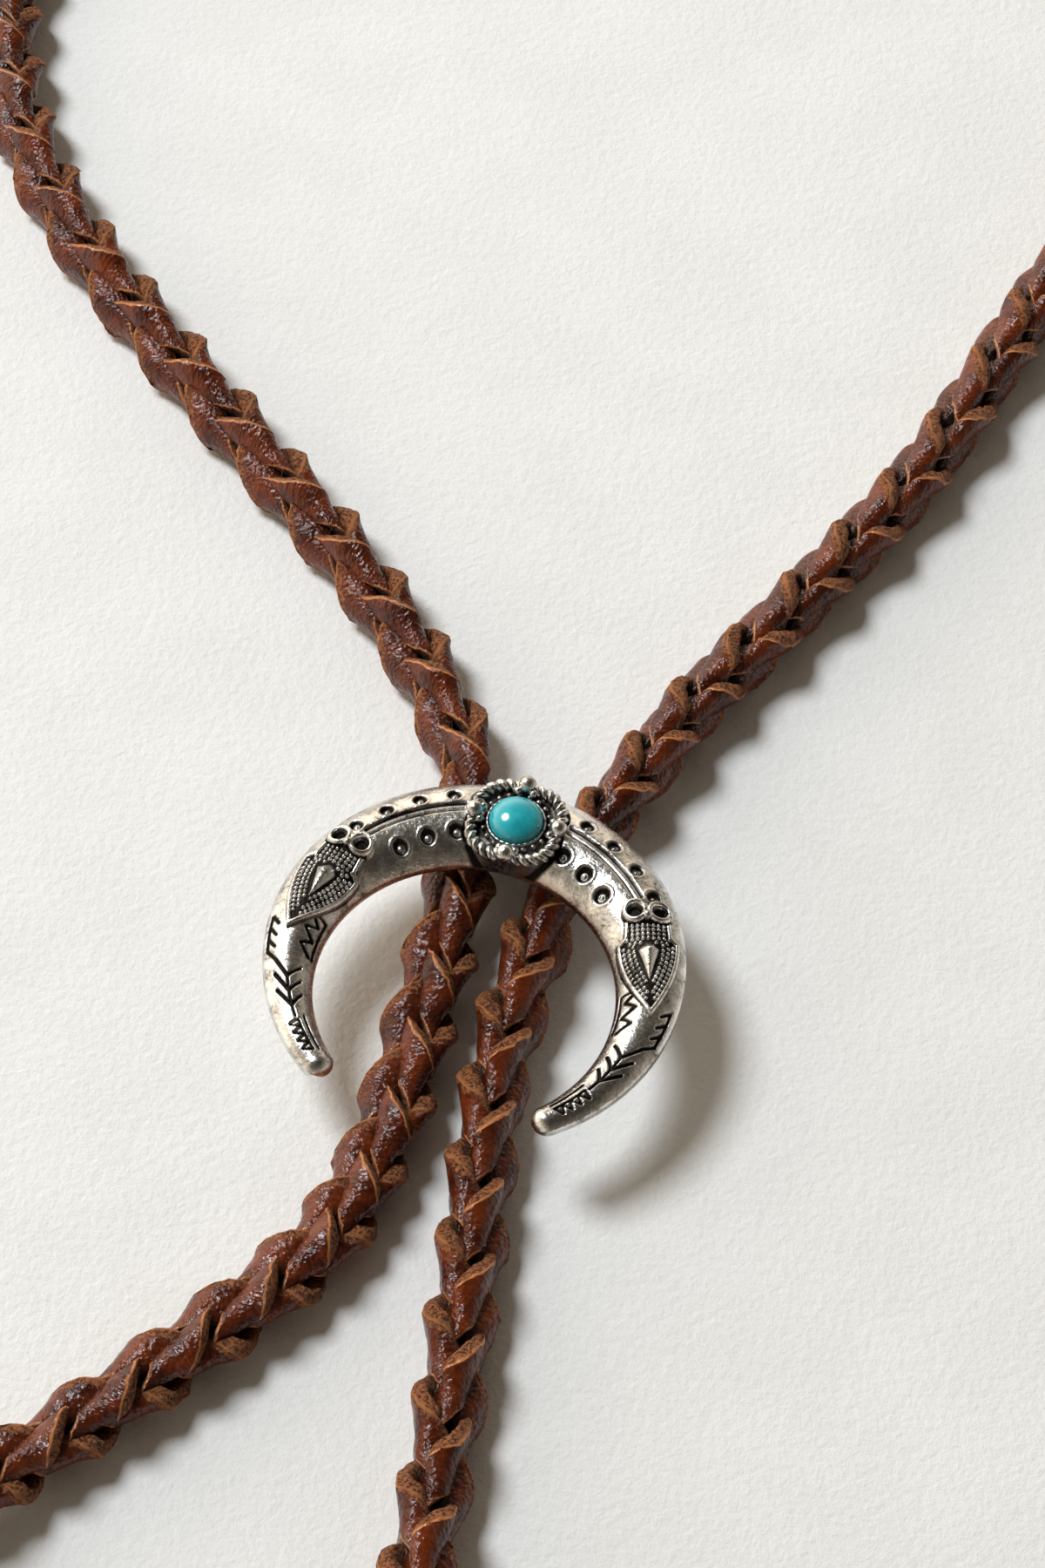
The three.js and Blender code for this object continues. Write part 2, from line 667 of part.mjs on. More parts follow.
// Cord
// A tip lies on the end of its ferrule and on its ball.
const FERRULE_RADIUS = TIP_RADIUS - TIP_COLLAR_STEP;
const TIP_SINE = (FERRULE_RADIUS - TIP_BALL_RADIUS) / (TIP_LENGTH - TIP_BALL_RADIUS - TIP_FERRULE);

function tipDirection(tip) {
  const heading = radians(tip.heading);
  const flat = Math.sqrt(1 - TIP_SINE ** 2);
  return new THREE.Vector3(flat * Math.cos(heading), flat * Math.sin(heading), -TIP_SINE);
}

function tipMouth(tip) {
  return new THREE.Vector3(tip.x, tip.y, FERRULE_RADIUS + TIP_FERRULE * TIP_SINE);
}

function liftedPoint({ x, y, lift }) {
  return new THREE.Vector3(x, y, THREE.MathUtils.lerp(CORD_RADIUS, CHANNEL_HEIGHT, lift));
}

function cordCurve() {
  const [left, right] = TIPS.map((tip) => {
    const ends = [TIP_BORE - TOUCH_GAP, 0, -TIP_BORE];
    return ends.map((reach) => tipMouth(tip).addScaledVector(tipDirection(tip), reach));
  });
  const channels = [-1, 1].map((side) => ({ x: (side * CHANNEL_SPACING) / 2, y: 0, lift: 1 }));
  return new THREE.CatmullRomCurve3(
    [
      ...left,
      ...LEFT_TAIL.map(liftedPoint),
      liftedPoint(channels[0]),
      ...NECK.map(liftedPoint),
      liftedPoint(channels[1]),
      ...RIGHT_TAIL.map(liftedPoint),
      ...right.reverse(),
    ],
    false,
    "centripetal",
  );
}

function cordTube(radius) {
  const section = new THREE.Shape();
  for (let k = 0; k < CORD_SIDES; k++) {
    const angle = (k / CORD_SIDES) * 2 * Math.PI;
    const [x, y] = [radius * Math.cos(angle), radius * Math.sin(angle)];
    if (k === 0) section.moveTo(x, y);
    else section.lineTo(x, y);
  }
  return new THREE.ExtrudeGeometry(section, { steps: CORD_STEPS, extrudePath: cordCurve() });
}

// Clasp: one plain block with round ends and a channel for each side of the cord
function claspSolid() {
  const shape = new THREE.Shape();
  const reach = CHANNEL_SPACING / 2;
  shape.moveTo(-reach, 0);
  shape.lineTo(reach, 0);
  shape.absarc(reach, CHANNEL_HEIGHT, CHANNEL_HEIGHT, -Math.PI / 2, Math.PI / 2, false);
  shape.lineTo(-reach, CLASP_HEIGHT);
  shape.absarc(-reach, CHANNEL_HEIGHT, CHANNEL_HEIGHT, Math.PI / 2, (3 * Math.PI) / 2, false);
  const options = { depth: CLASP_DEPTH, bevelEnabled: false, curveSegments: 12 };
  const block = new THREE.ExtrudeGeometry(shape, options);
  block.rotateX(Math.PI / 2).translate(0, CLASP_DEPTH / 2, 0);
  return solidOf(block).subtract(solidOf(cordTube(CHANNEL_RADIUS)));
}

// Tip: a turned ferrule that tapers to a ball, with its mouth at the origin and its length along +Y
function tipGeometry() {
  const bore = CHANNEL_RADIUS;
  const ballAt = TIP_LENGTH - TIP_BALL_RADIUS;
  const profile = [
    [0, TIP_BORE],
    [bore, TIP_BORE],
    [bore, 0],
    [TIP_RADIUS, 0],
    [TIP_RADIUS, TIP_COLLAR],
    [FERRULE_RADIUS, TIP_COLLAR + TIP_COLLAR_STEP],
    [FERRULE_RADIUS, TIP_FERRULE],
    [THREE.MathUtils.lerp(TIP_RADIUS, TIP_WAIST_RADIUS, 0.55), TIP_FERRULE + TIP_LENGTH * 0.27],
    [TIP_WAIST_RADIUS, ballAt - TIP_BALL_RADIUS * 0.66],
  ];
  for (const degrees of [-30, 0, 30, 60]) {
    const angle = radians(degrees);
    profile.push([TIP_BALL_RADIUS * Math.cos(angle), ballAt + TIP_BALL_RADIUS * Math.sin(angle)]);
  }
  profile.push([0, TIP_LENGTH]);
  const turned = profile.map(([radius, height]) => new THREE.Vector2(radius, height));
  return new THREE.LatheGeometry(turned, TIP_SEGMENTS);
}

// Materials
const silver = new THREE.MeshStandardMaterial({ color: 0xb9b6ae, roughness: 0.34, metalness: 1 });
const turquoise = new THREE.MeshStandardMaterial({ color: 0x2fa9ad, roughness: 0.25, metalness: 0 });
const leather = new THREE.MeshStandardMaterial({ color: 0x5b2a18, roughness: 0.45, metalness: 0 });

// Assembly
const bolo = new THREE.Group();

function addPiece(name, geometry, material, parent = bolo) {
  const mesh = new THREE.Mesh(geometry, material);
  mesh.name = name;
  parent.add(mesh);
  return mesh;
}

const slide = new THREE.Group();
bolo.add(slide);
addPiece("crescent", geometryOf(crescentSolid()), silver, slide);
addPiece("stone_setting", geometryOf(settingSolid()), silver, slide);
const stone = addPiece("turquoise_stone", stoneGeometry(), turquoise, slide);
stone.rotation.x = Math.PI / 2;
stone.position.set(0, SETTING_OFFSET, SETTING_BOTTOM + SETTING_FLOOR + TOUCH_GAP);
addPiece("back_clasp", geometryOf(claspSolid()), silver, slide);

addPiece("braided_cord", cordTube(CORD_RADIUS), leather);
for (const tip of TIPS) {
  const mesh = addPiece(tip.name, tipGeometry(), silver);
  mesh.position.copy(tipMouth(tip));
  mesh.quaternion.setFromUnitVectors(new THREE.Vector3(0, 1, 0), tipDirection(tip));
}

export default bolo;
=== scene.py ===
import math

import bpy
import numpy as np
from mathutils import Matrix, Vector


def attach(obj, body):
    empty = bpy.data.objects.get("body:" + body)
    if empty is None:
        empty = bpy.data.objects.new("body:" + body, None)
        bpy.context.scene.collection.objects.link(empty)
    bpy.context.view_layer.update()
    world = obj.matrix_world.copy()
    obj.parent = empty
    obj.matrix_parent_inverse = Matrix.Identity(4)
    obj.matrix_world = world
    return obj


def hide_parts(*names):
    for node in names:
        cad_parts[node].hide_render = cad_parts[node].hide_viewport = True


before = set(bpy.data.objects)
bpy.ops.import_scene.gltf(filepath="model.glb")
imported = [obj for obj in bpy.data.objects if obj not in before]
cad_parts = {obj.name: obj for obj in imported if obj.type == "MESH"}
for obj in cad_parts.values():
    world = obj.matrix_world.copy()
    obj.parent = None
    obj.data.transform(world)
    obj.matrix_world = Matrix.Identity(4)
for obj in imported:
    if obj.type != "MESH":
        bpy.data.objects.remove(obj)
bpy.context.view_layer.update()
MM = 0.001


def new_object(name, data):
    made = bpy.data.objects.new(name, data)
    bpy.context.scene.collection.objects.link(made)
    return made


# Camera, fitted to the photograph
CAMERA_AT = (59.58, -266.89, 398.27)
CAMERA_RIGHT = (0.96452, 0.26212, 0.03155)
CAMERA_UP = (-0.23119, 0.78083, 0.5804)
CAMERA_LENS = 97.8
SENSOR_WIDTH = 36
CLIPS = (0.01, 20)

camera_data = bpy.data.cameras.new("camera")
camera_data.lens = CAMERA_LENS
camera_data.sensor_width = SENSOR_WIDTH
camera_data.clip_start, camera_data.clip_end = CLIPS
camera = new_object("camera", camera_data)
right = Vector(CAMERA_RIGHT).normalized()
up = Vector(CAMERA_UP)
up = (up - up.dot(right) * right).normalized()
camera.matrix_world = Matrix.Translation(Vector(CAMERA_AT) * MM) @ Matrix(
    (right, up, right.cross(up))
).transposed().to_4x4()
bpy.context.scene.camera = camera


# Mesh helpers
WOBBLE_OCTAVES = (1.0, 1.9, 3.3, 5.2)
WOBBLE_PHASE = 6.283
WOBBLE_FALL = 0.6
WOBBLE_SIZE = 2.2


def make_piece(name, points, faces, uv=None, layers=None):
    """A mesh object from points in millimetres, with one value a point in each layer."""
    mesh = bpy.data.meshes.new(name)
    mesh.from_pydata((np.asarray(points) * MM).tolist(), [], [list(map(int, f)) for f in faces])
    mesh.update()
    mesh.polygons.foreach_set("use_smooth", [True] * len(mesh.polygons))
    for layer, values in (layers or {}).items():
        data = mesh.attributes.new(layer, "FLOAT", "POINT").data
        data.foreach_set("value", np.asarray(values, dtype=float).ravel())
    if uv is not None:
        corner = np.empty(len(mesh.loops), dtype=int)
        mesh.loops.foreach_get("vertex_index", corner)
        data = mesh.uv_layers.new(name="UVMap").data
        data.foreach_set("uv", np.asarray(uv, dtype=float)[corner].ravel())
    return new_object(name, mesh)


def grid_faces(rows, columns, wrap=False, start=0):
    """Quads between rows of equally many points; wrap closes each row."""
    r = np.arange(rows - 1)[:, None]
    c = np.arange(columns if wrap else columns - 1)[None, :]
    n = (c + 1) % columns
    a, b = r * columns + c, r * columns + n
    return (np.stack([a, b, b + columns, a + columns], axis=-1) + start).reshape(-1, 4)


def closed_faces(rows, columns, start=0):
    """A tube's sides and its two ends."""
    first, last = range(start, start + columns), range(start + (rows - 1) * columns, start + rows * columns)
    return [*grid_faces(rows, columns, wrap=True, start=start).tolist(), [*first], [*last][::-1]]


def finish_piece(piece, material, stands_for=None, body="root"):
    piece.data.materials.append(material)
    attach(piece, body)
    if stands_for:
        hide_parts(stands_for)
    return piece


def ramp(x, low, high):
    """0 below low, 1 above high, smooth between."""
    t = np.clip((x - low) / (high - low), 0, 1)
    return t * t * (3 - 2 * t)


def bell(x, middle, width, power=2):
    """1 at the middle and near 0 past the width; a higher power makes it squarer."""
    return np.exp(-(((x - middle) / width) ** power))


def half_round(x, middle, width):
    """The height of a half round that is centred on middle, 0 outside it."""
    return np.sqrt(np.clip(1 - ((x - middle) / width) ** 2, 0, 1))


def unit(vectors):
    return vectors / np.linalg.norm(vectors, axis=1)[:, None]


def run_along(points):
    """How far each point is along the line through them."""
    return np.concatenate([[0], np.cumsum(np.linalg.norm(np.diff(points, axis=0), axis=1))])


def full_turn(count):
    return np.linspace(0, 2 * np.pi, count, endpoint=False)


def wobble(x, seed):
    """An uneven line between about -1 and 1."""
    rng = np.random.default_rng(seed)
    total = np.zeros_like(x, dtype=float)
    for octave in WOBBLE_OCTAVES:
        total += np.sin(x * octave + rng.uniform(0, WOBBLE_PHASE)) / octave**WOBBLE_FALL
    return total / WOBBLE_SIZE


def uneven(s, by, seed):
    """A factor near 1 that wanders along the cord; by is how much and how many waves a millimetre."""
    return 1 + by[0] * wobble(s * by[1], seed)


# Cord: the route of the CAD model, from the left tip through the clasp, round the neck and back. A tip is
# x, y and heading in degrees, a point x, y and how far it is lifted from the surface to the channels.
CORD_RADIUS = 3.5
CHANNEL_HEIGHT = 4.7
CHANNEL_X = 6.1
TIP_BORE = 6.0
TOUCH_GAP = 0.3
FERRULE_RADIUS = 4.05
TIP_FERRULE = 7.5
TIP_LENGTH = 33.0
TIP_BALL_RADIUS = 2.0
TIP_SINE = (FERRULE_RADIUS - TIP_BALL_RADIUS) / (TIP_LENGTH - TIP_BALL_RADIUS - TIP_FERRULE)
TIPS = {"left_tip": (-37.4, -99.2, 233), "right_tip": (14.2, -95.0, 279)}
LEFT_TAIL = [
    (-28.6, -87.4, 0.2), (-21.4, -77.6, 0.03), (-13.3, -66.0, 0), (-6.8, -54.6, 0),
    (-4.4, -42.0, 0.03), (-4.4, -27.0, 0.2), (-5.0, -12.0, 0.8),
]
NECK = [
    (-8.9, 8.0, 0.8), (-15.2, 18.0, 0.3), (-29.3, 32.8, 0.03), (-46.0, 46.7, 0),
    (-63.1, 60.7, 0), (-79.2, 75.4, 0), (-91.2, 91.0, 0), (-98.6, 109.0, 0),
    (-101.4, 129.0, 0), (-99.5, 151.0, 0), (-93.0, 172.0, 0), (-81.0, 191.0, 0),
    (-62.0, 206.0, 0), (-36.0, 213.5, 0), (-8.0, 212.5, 0), (17.0, 202.0, 0),
    (35.5, 184.0, 0), (45.5, 161.0, 0), (47.5, 136.0, 0), (45.3, 117.0, 0),
    (40.0, 98.5, 0), (31.7, 66.5, 0), (22.0, 42.6, 0.03), (14.0, 24.6, 0.3),
    (8.6, 8.0, 0.8),
]
RIGHT_TAIL = [
    (5.0, -12.0, 0.8), (4.9, -26.0, 0.2), (6.4, -40.0, 0.03), (8.9, -55.5, 0),
    (11.0, -70.0, 0.03), (12.4, -81.0, 0.2),
]


def tip_direction(tip):
    heading = math.radians(tip[2])
    flat = math.sqrt(1 - TIP_SINE**2)
    return np.array([flat * math.cos(heading), flat * math.sin(heading), -TIP_SINE])


def tip_mouth(tip):
    return np.array([tip[0], tip[1], FERRULE_RADIUS + TIP_FERRULE * TIP_SINE])


def route_points():
    reaches = (TIP_BORE - TOUCH_GAP, 0, -TIP_BORE)
    left, right = ([tip_mouth(tip) + tip_direction(tip) * r for r in reaches] for tip in TIPS.values())
    rows = [*LEFT_TAIL, (-CHANNEL_X, 0, 1), *NECK, (CHANNEL_X, 0, 1), *RIGHT_TAIL]
    laid = [(x, y, CORD_RADIUS + (CHANNEL_HEIGHT - CORD_RADIUS) * lift) for x, y, lift in rows]
    return np.array(left + laid + right[::-1])


def centreline(points, steps=60):
    """The centripetal curve through the points, as the CAD model draws it."""
    padded = np.vstack([2 * points[0] - points[1], points, 2 * points[-1] - points[-2]])
    w = np.linspace(0, 1, steps, endpoint=False)[:, None]
    out = []
    for p0, p1, p2, p3 in zip(padded, padded[1:], padded[2:], padded[3:]):
        d0, d1, d2 = (np.linalg.norm(b - a) ** 0.5 for a, b in ((p0, p1), (p1, p2), (p2, p3)))
        t1 = ((p1 - p0) / d0 - (p2 - p0) / (d0 + d1) + (p2 - p1) / d1) * d1
        t2 = ((p2 - p1) / d1 - (p3 - p1) / (d1 + d2) + (p3 - p2) / d2) * d1
        c2 = -3 * p1 + 3 * p2 - 2 * t1 - t2
        c3 = 2 * p1 - 2 * p2 + t1 + t2
        out.append(p1 + t1 * w + c2 * w**2 + c3 * w**3)
    return np.vstack(out + [points[-1:]])


ROUTE = route_points()
RAW_LINE = centreline(ROUTE)
RUN = run_along(RAW_LINE)
CORD_LENGTH = RUN[-1]
LINE_STEP = 0.25
LINE_S = np.arange(0, CORD_LENGTH, LINE_STEP)
LINE = np.stack([np.interp(LINE_S, RUN, RAW_LINE[:, k]) for k in range(3)], axis=1)
TANGENT = unit(np.gradient(LINE, axis=0))
UPWARD = unit(np.array([0, 0, 1.0]) - TANGENT[:, 2:] * TANGENT)
SIDEWAYS = np.cross(TANGENT, UPWARD)


def run_at(x, y):
    """How far along the cord the place nearest to x, y is."""
    return LINE_S[np.argmin(np.hypot(LINE[:, 0] - x, LINE[:, 1] - y))]


# Braid: two laces wind one way and two the other. PITCH is one whole turn of a lace. S_LEFT, S_RIGHT and
# S_TOP are how far along the cord the clasp's channels and the top of the loop are.
PITCH = 18.4
LACE_WIDTH = 5.2
LACE_THICKNESS = 1.6
LACE_RADIUS = 1.74
LACE_SWING = 0.62
SWING_POWER = 0.8
# The laces that wind one way stay on top for longer than the others. A standing edge dives between the
# two levels of the wave.
LACE_BIAS = 0.25
DIVE_LEVELS = (-0.65, 0.06)
DIVE_BIAS = 0.19
# A lace's face leans outwards towards the neck: from the first angle at its tailward edge to the second
# at its neckward edge, which stands off the cord. Under another lace it keeps a share of its lean.
LACE_LEAN = (math.radians(6), math.radians(58))
LEAN_POWER = 1.5
LEAN_UNDER = 0.3
FACE_STEPS = 50
LACE_CROWN = 0.25
FACE_LEVEL = 0.4
# How raw a lace's face is, where across it that starts and is full, and how rough it makes it
RAW_FACE = 0.8
RAW_ACROSS = (0.16, 0.4)
RAW_HEIGHT = 0.07
# How uneven a lace is: how much, and how many waves a millimetre
UNEVEN_WIDTH = (0.04, 1.3)
UNEVEN_THICKNESS = (0.1, 0.9)
UNEVEN_LEAN = (0.22, 0.55)
UNEVEN_RAW = (0.25, 1.7)
WINDING_RADIUS = 2.8
WRAP_RADIUS = 2.6
LACE_SLOPE = math.atan(2 * math.pi * WINDING_RADIUS / PITCH)
# The braid is thinner in the clasp's channels and in the tips
CLASP_REACH = 5
CLASP_SQUEEZE = 0.2
TIP_REACH = (4, 9)
TIP_SQUEEZE = 0.25
# painted shade in the gaps between the laces: full nearer the cord's middle than the first radius, gone past
# the second
PAINTED_SHADE_RADII = (1.3, 3.0)
LEAST_RADIUS = 0.15
LEAST_HEIGHT = 0.02
COLUMN_ANGLE = 45  # degrees from the fold to the middle of a column of laces
UV_APART = 40
UV_SCALE = 0.1
SEEN_STEP = 0.45
HIDDEN_STEP = 1.3
SEEN_LEFT = 128
SEEN_RIGHT = 108
LOOP_TOP = (-22, 213)
TURNOVER = 60  # how far before and after the top of the loop the braid changes sides
S_LEFT = run_at(-CHANNEL_X, 0)
S_RIGHT = run_at(CHANNEL_X, 0)
S_TOP = run_at(*LOOP_TOP)
# Where the fold between the two columns of laces lies round the cord, in degrees from the top, by how
# far along the cord, and how far the crossings are shifted along it, in millimetres.
FOLDS = [
    (0, 64),
    *((S_LEFT + at, fold) for at, fold in ((-15, 62), (20, 36), (150, 36))),
    (S_TOP - TURNOVER, 20),
    (S_TOP + TURNOVER, 0),
    *((S_RIGHT + at, fold) for at, fold in ((-120, -21), (-30, -21), (15, 17))),
    (CORD_LENGTH, 18),
]
LEFT_SHIFTS = [
    (-60, -2.5), (-52, -3.4), (-45, -5.0), (-15, -5.4), (0, -4.0), (16, -0.2), (26, 1.4),
    (36, 2.6), (46, 4.0), (57, 5.55), (68, 7.7), (80, 9.9), (91, 11.8), (128, 17.5),
]
RIGHT_SHIFTS = [
    (-98, 19.7), (-86, 22.1), (-74, 25.4), (-63, 26.9), (-52, 28.0), (-42, 28.8), (-31, 30.7),
    (-21, 31.0), (26, 32.0), (35, 32.3), (46, 32.9), (64, 33.3), (74, 34.0), (84, 34.9),
]
SHIFTS = [
    (0, -2.2),
    *((S_LEFT + at, shift) for at, shift in LEFT_SHIFTS),
    *((S_RIGHT + at, shift) for at, shift in RIGHT_SHIFTS),
    (CORD_LENGTH, 35.9),
]


def neckward(s):
    """1 where the neck lies ahead along the cord, -1 where it lies behind."""
    return 1 - 2 * ramp(s, S_TOP - TURNOVER, S_TOP + TURNOVER)


def by_place(s, table):
    return np.interp(s, [row[0] for row in table], [row[1] for row in table])


def fold_angle(s):
    return np.radians(by_place(s, FOLDS) + COLUMN_ANGLE * neckward(s))


def on_cord(s, radius, angle):
    s = np.clip(s, 0, LINE_S[-1])
    at, upward, sideways = (
        np.stack([np.interp(s, LINE_S, values[:, k]) for k in range(3)], axis=-1)
        for values in (LINE, UPWARD, SIDEWAYS)
    )
    out = np.cos(angle)[..., None] * upward + np.sin(angle)[..., None] * sideways
    return at + radius[..., None] * out


# Half of a lace's section, from the middle of its face round to the middle of its back: across its
# width, out of the cord, how raw it is and how much painted highlight its corner gets
HALF_SECTION = [
    (0.0, 0.53, 0, 0), (0.24, 0.52, 0, 0), (0.44, 0.5, 0, 0.2), (0.485, 0.46, 0.2, 1), (0.5, 0.36, 0.9, 0.6),
    (0.505, 0.1, 1, 0), (0.5, -0.2, 1, 0), (0.48, -0.47, 1, 0), (0.2, -0.5, 1, 0),
]
OTHER_HALF = [(-row[0], *row[1:]) for row in reversed(HALF_SECTION[1:])]
FACE_MIDDLE = 4
SECTION = OTHER_HALF[-FACE_MIDDLE:] + HALF_SECTION + OTHER_HALF[:-FACE_MIDDLE]


def stations():
    """Places along the cord, close together where the camera sees them and further apart elsewhere."""
    out = [0.0]
    while out[-1] < CORD_LENGTH:
        s = out[-1]
        hidden = S_LEFT + SEEN_LEFT < s < S_RIGHT - SEEN_RIGHT
        out.append(s + (HIDDEN_STEP if hidden else SEEN_STEP))
    return np.array(out)


def lace(hand, start, seed):
    share, level, section_raw, section_highlight = np.array(SECTION).T[:, None, :]
    rng = np.random.default_rng(seed)
    s = stations()[:, None]
    turned = fold_angle(s) + hand * 2 * math.pi * (s - by_place(s, SHIFTS)) / PITCH + start
    over = (1 + hand * np.cos(2 * (turned - fold_angle(s)))) / 2
    toward = neckward(s)
    way = np.where(toward < 0, -1.0, 1.0)
    lean = np.abs(toward) * (LEAN_UNDER + (1 - LEAN_UNDER) * over) * uneven(s, UNEVEN_LEAN, seed + 5)

    # the lace's face, from its middle outwards, as a curve in the plane of its width and its height
    fine = np.linspace(-0.5, 0.5, FACE_STEPS + 1)[None, :]
    slope = lean * (LACE_LEAN[0] + (LACE_LEAN[1] - LACE_LEAN[0]) * (fine + 0.5) ** LEAN_POWER)
    flat, rise = (np.cumsum(f(slope), axis=1) / FACE_STEPS for f in (np.cos, np.sin))
    middle = slice(FACE_STEPS // 2, FACE_STEPS // 2 + 1)
    flat, rise = flat - flat[:, middle], rise - rise[:, middle]
    width = LACE_WIDTH * uneven(s, UNEVEN_WIDTH, seed)
    thick = LACE_THICKNESS * uneven(s, UNEVEN_THICKNESS, seed + 1)
    u = np.clip(share * way, -0.5, 0.5)
    # the laces that wind one way are raw for a good part of their faces, beside the edge that stands off
    bare = RAW_FACE * ramp(u, *RAW_ACROSS) * ramp(hand * toward, 0, 0.5) * uneven(s, UNEVEN_RAW, seed + 9)
    raw = np.maximum(section_raw, bare)
    rough = RAW_HEIGHT * raw * rng.normal(0, 1, raw.shape)
    column = np.rint((u + 0.5) * FACE_STEPS).astype(int)
    tilt = np.take_along_axis(slope, column, axis=1)
    out = level * thick + rough
    across = way * (np.take_along_axis(flat, column, axis=1) * width - out * np.sin(tilt)) + rough[:, ::-1]
    lift = np.take_along_axis(rise, column, axis=1) * width
    lift = lift + LACE_CROWN * (1 - (2 * u) ** 2) * (level > FACE_LEVEL)

    place = s + across * math.sin(LACE_SLOPE)
    angle = turned - hand * across * math.cos(LACE_SLOPE) / WRAP_RADIUS
    wave = np.cos(2 * (angle - fold_angle(place))) + LACE_BIAS * toward
    # an edge that stands off dives where the other laces pass over it
    dive = hand * wave - DIVE_BIAS * hand * toward
    lift = np.where(lift > 0, lift * ramp(dive, *DIVE_LEVELS), lift)
    height = lift + out * np.cos(tilt)
    swing = hand * LACE_SWING * np.sign(wave) * np.minimum(np.abs(wave), 1) ** SWING_POWER
    squeeze = bell(place, S_LEFT, CLASP_REACH) + bell(place, S_RIGHT, CLASP_REACH)
    ends = 1 - ramp(np.minimum(place, CORD_LENGTH - place), *TIP_REACH)
    radius = (LACE_RADIUS + swing + height) * (1 - CLASP_SQUEEZE * squeeze - TIP_SQUEEZE * ends)
    # painted shade: the parts of a lace that lie deep in the cord, in the gaps between the laces, are
    # darkened
    painted_shade = 1 - ramp(radius, *PAINTED_SHADE_RADII)
    points = on_cord(place, np.maximum(radius, LEAST_RADIUS), angle)
    points[..., 2] = np.maximum(points[..., 2], LEAST_HEIGHT)
    run = np.broadcast_to(s / math.cos(LACE_SLOPE), across.shape)
    uv = np.stack([across + UV_APART * seed, run], axis=-1)
    return points, uv, raw, np.broadcast_to(section_highlight, across.shape), painted_shade


# Loose threads of leather, which start at the raw corners of the section
FIBRES = 160
FIBRE_LENGTHS = (0.7, 2.2)
FIBRE_RADIUS = 0.035
FIBRE_RINGS = 7
FIBRE_SIDES = 3
FIBRE_ROOTS = [9, 10, 15, 16]
FIRST_FIBRE = 20


def fibre(root, aim, length, seed):
    """A thin three-sided tube that bends and tapers as it goes."""
    rng = np.random.default_rng(seed)
    bend = rng.normal(0, 0.5, 3)
    share = np.linspace(0, 1, FIBRE_RINGS)[:, None]
    middle = root + aim * share * length + bend * share**2 * length * 0.6
    middle[:, 2] = np.maximum(middle[:, 2], 0.06)
    turn = np.arange(FIBRE_SIDES) * 2 * np.pi / FIBRE_SIDES
    ring = np.stack([np.cos(turn), np.sin(turn), np.sin(turn + 0.7)], axis=-1) * FIBRE_RADIUS
    return (middle[:, None, :] + ring[None] * (1.05 - share[:, :, None])).reshape(-1, 3)


def braid():
    parts, faces, start = [], [], 0
    rng = np.random.default_rng(11)
    for hand, angle, seed in [(1, 0, 1), (1, math.pi, 2), (-1, 0, 3), (-1, math.pi, 4)]:
        values = lace(hand, angle, seed)
        p = values[0]
        rows, columns = p.shape[:2]
        parts.append([value.reshape(rows * columns, -1) for value in values])
        faces += closed_faces(rows, columns, start)
        start += rows * columns
        for i in range(FIBRES // 4):
            row, column = rng.integers(FIRST_FIBRE, rows - FIRST_FIBRE), rng.choice(FIBRE_ROOTS)
            aim = p[row, column] - p[row, FACE_MIDDLE]
            aim = aim / np.linalg.norm(aim) + rng.normal(0, 0.4, 3)
            thread = fibre(p[row, column], aim, rng.uniform(*FIBRE_LENGTHS), 1000 * seed + i)
            none = np.zeros((len(thread), 1))
            parts.append([thread, np.hstack([none, none]), none + 1, none, none])
            faces += grid_faces(FIBRE_RINGS, FIBRE_SIDES, wrap=True, start=start).tolist()
            start += len(thread)
    points, uv, raw, rim, painted_shade = (np.vstack(values) for values in zip(*parts))
    # the rim layer is a painted highlight along the laces' corners, and the last layer is painted shade in
    # the gaps between them
    layers = {"raw": raw, "rim": rim, "painted_shade": painted_shade}
    return make_piece("braid", points, faces, uv=uv * UV_SCALE, layers=layers)


# Crescent: the band between its outer circle and the circle of its opening, as in the CAD model
CRESCENT_RADIUS = 23.0
BAND_WIDTH = 10.7
BAND_OFFSET = -3.25
HORN_WIDTH = 3.48
EDGE_HEIGHT = 1.5
OPENING_EDGE_HEIGHT = 0.7
HORN_END_REACH = 0.87
CREST_HEIGHT = 4.0
OUTER_SWEEP = math.radians(143)
HORN_CUT = math.radians(135.3)
DOME_POWER = 0.8
THINNING = 0.8
THIN_EDGE = 0.2
CRESCENT_BACK = 9.7
OUTER_CENTRE_Y = BAND_OFFSET + BAND_WIDTH / 2 - CRESCENT_RADIUS
OPENING_TOP_Y = BAND_OFFSET - BAND_WIDTH / 2
CORNER_X = CRESCENT_RADIUS * math.sin(OUTER_SWEEP) - HORN_WIDTH * math.sin(HORN_CUT)
CORNER_Y = OUTER_CENTRE_Y + CRESCENT_RADIUS * math.cos(OUTER_SWEEP) - HORN_WIDTH * math.cos(HORN_CUT)
CORNER_DROP = OPENING_TOP_Y - CORNER_Y
OPENING_RADIUS = (CORNER_X**2 + CORNER_DROP**2) / (2 * CORNER_DROP)
OPENING_CENTRE_Y = OPENING_TOP_Y - OPENING_RADIUS
OPENING_SWEEP = math.atan2(CORNER_X, CORNER_Y - OPENING_CENTRE_Y)


def on_circle(radius, centre_y, angle):
    return np.stack([radius * np.sin(angle), centre_y + radius * np.cos(angle)], axis=-1)


def band(along):
    """The middle of the band and half its width as a vector, both in plan."""
    along = np.asarray(along, dtype=float)
    outer = on_circle(CRESCENT_RADIUS, OUTER_CENTRE_Y, along * OUTER_SWEEP)
    inner = on_circle(OPENING_RADIUS, OPENING_CENTRE_Y, along * OPENING_SWEEP)
    return (outer + inner) / 2, (outer - inner) / 2


